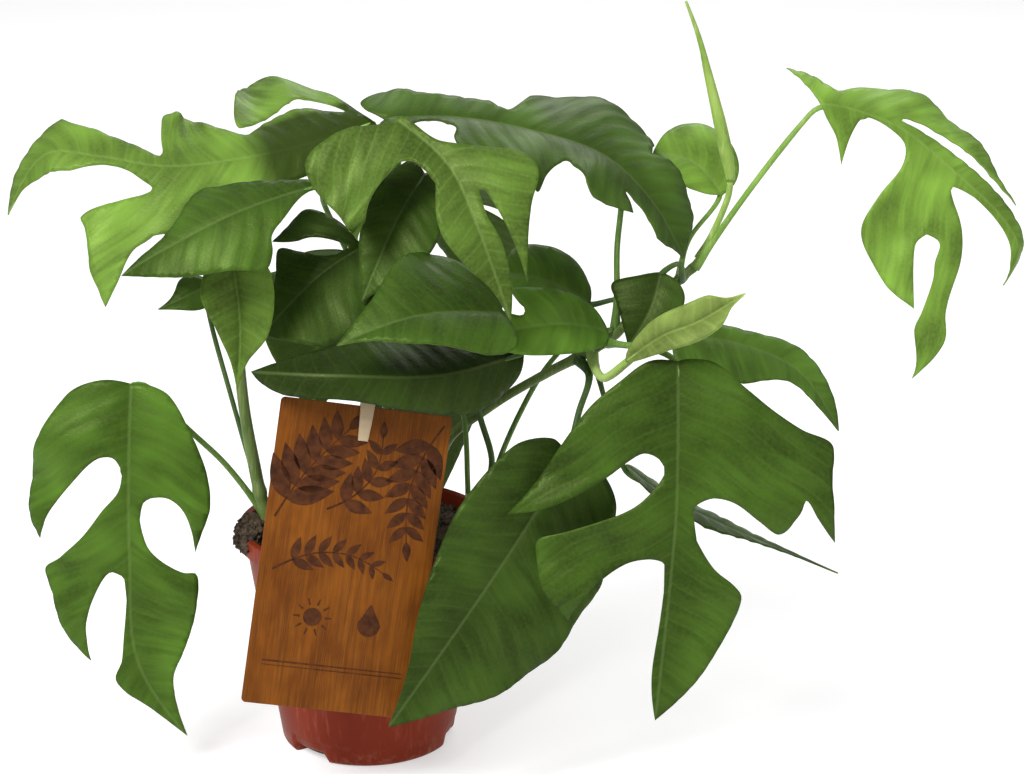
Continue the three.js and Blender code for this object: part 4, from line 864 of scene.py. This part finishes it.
def stalk_radius(leaf):
    """Radius along a stalk with a sheath where it leaves its stem, a knee under the blade and a channel."""
    start, end = leaf.stalk_radii
    plain = between([start, end, end, STALK_END_RADIUS])
    length = path_length([*leaf.stalk, leaf.midrib[0]])

    def radius(s, at, angle):
        sheath = SHEATH_SWELL * bell(at, SHEATH_LENGTH)
        knee = KNEE_SWELL * bell(at - length, KNEE_LENGTH)
        channel = -CHANNEL_DEPTH * bell(math.remainder(angle, 2 * math.pi), 0.5)
        return plain(s) * (1 + sheath + knee + channel)

    return radius


def make_leaf(leaf):
    rib = Rib(leaf.midrib, leaf.face)
    under_rib = [
        rib.point_at(np.array([at]))[0] - drop * rib.take("normal", np.array([at]))[0]
        for at, drop in ((1.0, 1.9), (12.0, 1.3))
    ]
    parts = [blade(leaf, rib), tube_part(2, [*leaf.stalk, *under_rib], stalk_radius(leaf))]
    if leaf.root:
        parts.append(tube_part(3, leaf.root, lambda s, at, a: 1.0 - 0.4 * s, 8, 1.5))
    points, faces, slots, uv, sheet = joined(parts)
    obj = new_object("fine_" + leaf.name, points, faces, slots, {"veins": uv, "sheet": sheet})
    dress(obj, leaf.tone, [leaf_upper(leaf), UNDER[leaf.tone], STALK[leaf.tone], ROOT], leaf.name)


def joints_on(path):
    """Shares of a stem's path where leaves leave it."""
    shares = np.linspace(0, 1, 200)
    points = spline(path, shares)
    found = []
    for leaf in LEAVES:
        d = np.linalg.norm(points - np.array(leaf.stalk[0]), axis=1)
        if d.min() < JOINT_REACH:
            found.append(shares[d.argmin()])
    return found


def make_stem(name, path, radii):
    length = path_length(path)
    joints = joints_on(path)
    plain = between(radii)

    def radius(s, at, angle):
        ring = sum(bell((s - joint) * length, JOINT_WIDTH) for joint in joints)
        return plain(s) * (1 + JOINT_SWELL * ring + 0.03 * math.sin(4 * angle + at / 9))

    points, faces, uv = tube(path, radius, 18, 1.8)
    dress(new_object("fine_" + name, points, faces, None, {"sheet": uv}), "stem", [STEM], name)


def make_spike():
    """The rolled new leaf: a slim spindle with the edge of its roll winding round it."""
    fat = between([2.0, 3.3, 3.0, 2.3, 1.6, 1.1, 0.6])

    def rolled(s, at, angle):
        turn = (angle + 5.5 * s) % (2 * math.pi) / (2 * math.pi)
        return fat(s) * (0.88 + 0.2 * turn)

    def stalk(s, at, angle):
        return 1.5 + 0.7 * bell(at, 6)

    parts = [tube_part(0, SPIKE_BLADE, rolled, 26, 1.6), tube_part(1, SPIKE_STALK, stalk)]
    points, faces, slots, uv, sheet = joined(parts)
    obj = new_object("fine_new_leaf_spike", points, faces, slots, {"veins": uv, "sheet": sheet})
    skin = stem_paint("rolled_leaf", (0.16, 0.27, 0.04), (0.27, 0.4, 0.08), (0.4, 0.5, 0.16))
    dress(obj, "leaf_pale", [skin, STALK["leaf_pale"]], "new_leaf_spike")


def notch_lift(r, z, angle):
    """How far a drain notch lifts a point of the pot's foot."""
    off = abs(math.remainder(angle - math.radians(NOTCH_ANGLE), 2 * math.pi / NOTCH_COUNT))
    within = 1 - smooth((off * POT_FOOT_RADIUS - NOTCH_WIDTH / 2 + 0.8) / 1.6)
    return float(NOTCH_HEIGHT * within * smooth((r - NOTCH_START) / 1.5) * (1 - smooth((z - 5) / 6)))


def rounded_profile(corners):
    """A profile of (radius, height, rounding) corners with each corner turned in small steps."""
    out = []
    for i, (r, z, rounding) in enumerate(corners):
        here = np.array([r, z], float)
        if not rounding:
            out.append(here)
            continue
        before, after = (np.array(corners[j][:2], float) for j in (i - 1, i + 1))
        start, end = here + unit(before - here) * rounding, here + unit(after - here) * rounding
        out += [(1 - t) ** 2 * start + 2 * t * (1 - t) * here + t * t * end for t in np.linspace(0, 1, 5)]
    return out


def dense(profile, step=3.0):
    """The profile with further points, so that none are more than a step apart."""
    out = [profile[0]]
    for a, b in zip(profile, profile[1:]):
        count = max(1, math.ceil(np.linalg.norm(b - a) / step))
        out += [a + (b - a) * t for t in np.linspace(0, 1, count + 1)[1:]]
    return out


def turned(profile, sides, lift):
    """A closed body turned about Z from a profile that starts and ends on the axis."""
    points = [[0, 0, profile[0][1]]]
    rows = profile[1:-1]
    for r, z in rows:
        for k in range(sides):
            a = 2 * math.pi * k / sides
            points.append([r * math.cos(a), r * math.sin(a), z + lift(r, z, a)])
    points.append([0, 0, profile[-1][1]])
    top = 1 + (len(rows) - 1) * sides
    faces = []
    for k in range(sides):
        j = (k + 1) % sides
        faces.append((0, 1 + j, 1 + k))
        for start in range(1, top, sides):
            a, b = start + k, start + j
            faces.append((a, b, b + sides, a + sides))
        faces.append((top + k, top + j, len(points) - 1))
    return np.array(points, float), faces


def make_pot():
    ledge = POT_HEIGHT - RIM_DEPTH
    at_ledge, at_top, at_floor = (POT_FOOT_RADIUS + POT_SLOPE * z for z in (ledge, POT_HEIGHT, POT_FLOOR))
    profile = rounded_profile([
        (0, 0, 0), (NOTCH_START, 0, 0), (POT_FOOT_RADIUS, 0, 3.0),
        (at_ledge, ledge, 0.5), (POT_RIM_RADIUS - 0.2, ledge + 0.6, 0.5), (POT_RIM_RADIUS, POT_HEIGHT, 0.7),
        (at_top - POT_WALL, POT_HEIGHT, 0.5), (at_floor - POT_WALL, POT_FLOOR, 2.5), (0, POT_FLOOR, 0),
    ])
    obj = new_object("fine_pot", *turned(dense(profile), 160, notch_lift))
    cutters = []
    for i in range(HOLE_COUNT):
        a = 2 * math.pi * i / HOLE_COUNT
        place = Vector((math.cos(a), math.sin(a), 0)) * HOLE_CIRCLE * MM
        bpy.ops.mesh.primitive_cylinder_add(vertices=32, radius=HOLE_RADIUS * MM, depth=0.02, location=place)
        cutters.append(bpy.context.object)
        cut = obj.modifiers.new("hole", "BOOLEAN")
        cut.operation = "DIFFERENCE"
        cut.object = cutters[-1]
    mesh = bpy.data.meshes.new_from_object(obj.evaluated_get(bpy.context.evaluated_depsgraph_get()))
    obj.modifiers.clear()
    obj.data = mesh
    mesh.shade_smooth()
    mesh.set_sharp_from_angle(angle=math.radians(38))
    for cutter in cutters:
        bpy.data.objects.remove(cutter)
    mesh.materials.clear()
    dress(obj, "pot", [pot_paint()], "pot")


def soil_height(x, y):
    """Height of the soil's top, with broad lumps, a mound at the left stem and fine crumbs."""
    lumps = 1.6 * math.sin(0.21 * x + 1) * math.cos(0.17 * y) + 1.1 * math.sin(0.37 * y + 0.11 * x + 2)
    mound = MOUND_HEIGHT * math.exp(-((x - MOUND_PLACE[0]) ** 2 + (y - MOUND_PLACE[1]) ** 2) / 120)
    crumbs = noise.fractal(Vector((x / 7, y / 7, 0)), 0.6, 2.1, 5)
    return SOIL_LEVEL + lumps + mound + 1.5 * crumbs


def lump(centre, radii, detail, rough, seed):
    """An uneven ball of soil."""
    made = bmesh.new()
    bmesh.ops.create_icosphere(made, subdivisions=detail, radius=1)
    points = []
    for v in made.verts:
        k = 1 + rough * noise.fractal(v.co * 1.7 + Vector((seed, 0, 0)), 0.6, 2.0, 4)
        points.append([c + r * k * x for c, r, x in zip(centre, radii, v.co)])
    faces = [tuple(v.index for v in f.verts) for f in made.faces]
    made.free()
    return np.array(points), faces


def soil_plug():
    """The soil inside the pot, with an uneven top that comes down to the wall."""
    base = POT_FOOT_RADIUS - POT_WALL - 2 * GAP
    floor = POT_FLOOR + GAP
    top_radius = base + POT_SLOPE * (SOIL_LEVEL - 3)
    profile = [(0, floor), (base + POT_SLOPE * POT_FLOOR - 3, floor)]
    profile += [(base + POT_SLOPE * z, z) for z in (12, 60)]
    profile += [(top_radius * (1 - i / SOIL_RINGS), SOIL_LEVEL - 2) for i in range(SOIL_RINGS)]
    points, faces = turned([*profile, (0, SOIL_LEVEL)], 140, lambda r, z, a: 0)
    for i in np.nonzero(points[:, 2] > SOIL_LEVEL - 5)[0]:
        x, y, z = points[i]
        share = min(1, (top_radius - math.hypot(x, y)) / 3)
        points[i][2] = z + (soil_height(x, y) - z) * share
    return points, faces


def make_soil():
    parts = [soil_plug(), lump(CLUMP_CENTRE, CLUMP_RADII, 5, 0.28, 3)]
    for i in range(CRUMB_COUNT):
        size = random.uniform(*CRUMB_SIZES)
        a, r = random.uniform(0, 6.283), CRUMB_CIRCLE * math.sqrt(random.random())
        x, y = r * math.cos(a), r * math.sin(a)
        centre = (x, y, soil_height(x, y) + 0.2 * size)
        if i % 6 == 0:
            d = np.array([random.gauss(0, 1) for _ in range(3)])
            centre = np.array(CLUMP_CENTRE) + unit(d) * np.array(CLUMP_RADII) * 0.95
        radii = [size * random.uniform(0.6, 1.1) for _ in range(3)]
        parts.append(lump(centre, radii, 2, 0.5, i))
    dress(new_object("fine_soil", *joined(parts)), "soil", [soil_paint()], "soil")


CARD_MATRIX = (
    Matrix.Translation(CARD_CENTRE)
    @ Matrix.Rotation(math.radians(CARD_TURN), 4, "Z")
    @ Matrix.Rotation(math.radians(-CARD_LEAN), 4, "X")
    @ Matrix.Rotation(math.radians(CARD_ROLL), 4, "Y")
)


def on_card(x, y, z):
    return np.array(CARD_MATRIX @ Vector((x, y, z)))


def circle_point(centre, reach, angle):
    return centre[0] + reach * math.cos(angle), centre[1] + reach * math.sin(angle)


def rounded_box_outline(width, height, corner):
    outline = []
    for i, (sx, sz) in enumerate(((1, 1), (-1, 1), (-1, -1), (1, -1))):
        centre = (sx * (width / 2 - corner), sz * (height / 2 - corner))
        for t in np.linspace(0, math.pi / 2, 7):
            outline.append(circle_point(centre, corner, i * math.pi / 2 + t))
    return outline


def plate(outline, front, back, soft=0.0):
    """A flat plate on the card from an outline, with softened front and back edges."""
    middle = np.mean(outline, axis=0)
    points = []
    for y, shrink in ((front, soft), (front + soft, 0), (back - soft, 0), (back, soft)):
        for x, z in outline:
            d = unit(middle - np.array([x, z], float) + 1e-9) * shrink
            points.append(on_card(x + d[0], y, z + d[1]))
    n = len(outline)
    faces = [tuple(range(n)), tuple(range(3 * n, 4 * n))[::-1]]
    for a in range(0, 3 * n, n):
        b = a + n
        faces += [(a + (i + 1) % n, a + i, b + i, b + (i + 1) % n) for i in range(n)]
    return np.array(points), faces


def make_card():
    outline = rounded_box_outline(CARD_WIDTH, CARD_HEIGHT, CARD_CORNER)
    points, faces = plate(outline, CARD_FRONT, -CARD_FRONT, 0.15)
    local = [CARD_MATRIX.inverted() @ Vector(p) for p in points]
    board = np.array([(p.x / 100, p.z / 100) for p in local])
    obj = new_object("fine_card", points, faces, None, {"board": board}, rounded=False)
    dress(obj, "card", [card_paint()], "card")


# The print on the card, a little proud of the board: sprigs with their number of leaflet pairs and the
# length and width of the lowest leaflet, two rules with their widths, and the places of a sun and a drop
PRINT_FRONT = CARD_FRONT - 0.12
PRINT_BACK = CARD_FRONT + 0.05
SPRIGS = [
    ([(-35, 16), (-26, 34), (-16, 48), (-6, 60)], 6, 22, 9),
    ([(36, 66), (28, 50), (24, 32), (26, 10)], 7, 17, 7),
    ([(-12, 22), (0, 30), (8, 42), (9, 58)], 5, 14, 6),
    ([(-33, -8), (-16, 1), (2, 2), (18, -5)], 7, 11, 4.4),
]
RULES = [([(-32, -50), (0, -50), (32, -50)], 0.8), ([(32, -52), (0, -52), (-32, -52)], 0.5)]
SUN = (-12, -28)
DROP = (14, -29)


def leaflet(x, z, angle, length, width):
    """Outline of one pointed leaflet that starts at x, z and points along angle."""
    outline = []
    for side in (1, -1):
        for t in np.linspace(0, 1, 9)[:-1]:
            t = t if side == 1 else 1 - t
            w = side * width / 2 * math.sin(math.pi * t ** 0.8)
            outline.append((
                x + length * t * math.cos(angle) - w * math.sin(angle),
                z + length * t * math.sin(angle) + w * math.cos(angle),
            ))
    return outline


def ribbon(points, width):
    """Outline of a line of the given width that thins towards its end."""
    p = spline(points, np.linspace(0, 1, 14))
    d = unit(np.gradient(p, axis=0))
    across = np.stack([-d[:, 1], d[:, 0]], axis=1) * (width / 2 * np.linspace(1, 0.4, len(p)))[:, None]
    return np.vstack([p + across, (p - across)[::-1]])


def sprig(points, pairs, length, width):
    """A curved stalk with pairs of leaflets and one at its end."""
    shapes = [ribbon(points, 0.9)]
    for i in range(pairs + 1):
        s = 0.18 + 0.8 * i / pairs
        here, ahead = spline(points, [0.98, 1.0] if i == pairs else [s, min(s + 0.02, 1)])
        heading = math.atan2(*(ahead - here)[::-1])
        size = length * (1 - 0.45 * i / pairs)
        turns = (0,) if i == pairs else (0.85, -0.85)
        shapes += [leaflet(*here, heading + turn, size, width * size / length) for turn in turns]
    return shapes


def drop_point(angle):
    """A point of the drop's outline, which is drawn out to a tip at the top."""
    up = max(0, math.sin(angle))
    across = 5.2 * math.cos(angle) * (1 - 0.25 * up)
    return DROP[0] + across, DROP[1] + 5.4 * (1 + 0.75 * up ** 6) * math.sin(angle)


def make_print():
    shapes = [shape for row in SPRIGS for shape in sprig(*row)]
    shapes += [ribbon(*rule) for rule in RULES]
    shapes.append([circle_point(SUN, 4.2, a) for a in np.linspace(0, 6.28, 25)[:-1]])
    for a in np.linspace(0, 2 * math.pi, 11)[:-1]:
        shapes.append(ribbon([circle_point(SUN, reach, a) for reach in (5.8, 7.2, 8.8)], 1.0))
    shapes.append([drop_point(a) for a in np.linspace(0, 2 * math.pi, 29)[:-1]])
    points, faces = joined([plate(shape, PRINT_FRONT, PRINT_BACK) for shape in shapes])
    dress(new_object("card_print", points, faces, rounded=False), "card", [print_paint()])


def make_clip():
    """The clip that folds over the card's top edge: a bent band with bevelled edges."""
    top = CARD_HEIGHT / 2 + GAP
    front = CARD_FRONT - GAP
    back = STAKE_FRONT
    outside = 0.8 * CLIP_THICKNESS
    inner = [(front, top - CLIP_DROP), (front, top - 6), (front, top), (back, top), (back, top - CLIP_DROP)]
    outer = [
        (front - 0.7, top - CLIP_DROP), (front - CLIP_THICKNESS, top - 6),
        (front - outside, top + CLIP_THICKNESS), (back + outside, top + CLIP_THICKNESS),
        (back + CLIP_THICKNESS, top - CLIP_DROP),
    ]
    clip = bmesh.new()
    corners = []
    for sign in (-1, 1):
        for y, z in [*inner, *outer]:
            share = np.clip((top - z) / CLIP_DROP, 0, 1)
            half_width = (CLIP_WIDTH + (CLIP_TIP_WIDTH - CLIP_WIDTH) * share) / 2
            corners.append(clip.verts.new(on_card(sign * half_width, y, z)))
    n = len(inner)
    a, b, c, d = (corners[i * n:(i + 1) * n] for i in range(4))
    for i, j in zip(range(n - 1), range(1, n)):
        clip.faces.new((a[i], a[j], b[j], b[i]))
        clip.faces.new((d[i], d[j], c[j], c[i]))
        clip.faces.new((a[j], a[i], c[i], c[j]))
        clip.faces.new((b[i], b[j], d[j], d[i]))
    clip.faces.new((a[0], b[0], d[0], c[0]))
    clip.faces.new((b[-1], a[-1], c[-1], d[-1]))
    bmesh.ops.recalc_face_normals(clip, faces=clip.faces)
    bmesh.ops.bevel(clip, geom=clip.edges[:], offset=CLIP_BEVEL, segments=3, profile=0.6, affect="EDGES")
    clip.verts.index_update()
    points = np.array([tuple(v.co) for v in clip.verts])
    faces = [tuple(v.index for v in f.verts) for f in clip.faces]
    clip.free()
    return points, faces


def make_stake():
    """The stake behind the card with its clip."""
    middle = STAKE_FRONT + STAKE_RADIUS
    path = [
        (-2, -44, 65.4), (-2, -46, 99.4), on_card(-1, middle + 4, 20), on_card(0, middle + 0.5, 45),
        on_card(0, middle, CARD_HEIGHT / 2 - 8),
    ]
    points, faces, _ = tube(path, lambda s, at, a: STAKE_RADIUS * (1 - 0.06 * abs(math.sin(2 * a))), 20, 4)
    obj = new_object("fine_card_stake", *joined([(points, faces), make_clip()]))
    obj.data.set_sharp_from_angle(angle=math.radians(40))
    dress(obj, "stake", [clip_paint()], "card_stake")


def aimed(obj, target):
    obj.rotation_euler = (target - obj.location).to_track_quat("-Z", "Y").to_euler()
    return obj


def area_light(name, place, size, power):
    data = bpy.data.lights.new(name, "AREA")
    data.size = size
    data.energy = power
    obj = bpy.data.objects.new(name, data)
    obj.location = place
    bpy.context.collection.objects.link(obj)
    aimed(obj, LIGHT_AIM)


def make_stage():
    """The floor, the light and the camera."""
    bpy.ops.mesh.primitive_plane_add(size=14)
    floor = bpy.context.object
    floor.name = "floor"
    paint = Paint("pale_floor", Specular_IOR_Level=0.1, Emission_Color=(1, 1, 1, 1), Emission_Strength=0.5)
    clouds = paint.noise(paint.place(), 1.2, 2.0)
    colour = paint.mix(clouds, (0.61, 0.61, 0.607), (0.63, 0.63, 0.63))
    floor.data.materials.append(paint.finish(colour, paint.span(clouds, 0, 1, 0.7, 0.8)))
    world = bpy.data.worlds.new("studio")
    bpy.context.scene.world = world
    world.use_nodes = True
    background = world.node_tree.nodes["Background"].inputs
    background["Color"].default_value = (1, 1, 1, 1)
    background["Strength"].default_value = 0.38
    area_light("key", (-0.9, -1.1, 1.7), 0.9, 52)
    area_light("fill", (1.3, -1.0, 1.1), 1.4, 9)
    area_light("back", (0.3, 1.4, 1.5), 1.2, 12)
    bpy.context.scene.view_settings.view_transform = "Standard"
    data = bpy.data.cameras.new("camera")
    data.lens = CAMERA_LENS
    data.sensor_width = 36
    camera = bpy.data.objects.new("camera", data)
    camera.location = CAMERA_PLACE
    bpy.context.collection.objects.link(camera)
    bpy.context.scene.camera = aimed(camera, CAMERA_AIM)


UNDER = {tone: leaf_under(tone) for tone in TONES}
STALK = {
    "leaf_bright": stem_paint("stalk_bright", (0.12, 0.24, 0.03), (0.2, 0.34, 0.06), (0.33, 0.45, 0.13)),
    "leaf_mid": stem_paint("stalk_mid", (0.07, 0.16, 0.02), (0.13, 0.24, 0.045), (0.25, 0.36, 0.1)),
    "leaf_dark": stem_paint("stalk_dark", (0.03, 0.075, 0.015), (0.07, 0.13, 0.03), (0.14, 0.2, 0.06)),
    "leaf_pale": stem_paint("stalk_pale", (0.22, 0.36, 0.06), (0.34, 0.48, 0.12), (0.5, 0.6, 0.25)),
}
STEM = stem_paint("stem_green", (0.075, 0.13, 0.025), (0.14, 0.21, 0.05), (0.3, 0.32, 0.14))
ROOT = stem_paint("root_pale", (0.42, 0.38, 0.24), (0.6, 0.56, 0.4), (0.3, 0.24, 0.14))

for stem_name, (stem_path, stem_radii) in STEMS.items():
    make_stem(stem_name, stem_path, stem_radii)
for each in LEAVES:
    make_leaf(each)
make_spike()
make_pot()
make_soil()
make_card()
make_print()
make_stake()
make_stage()
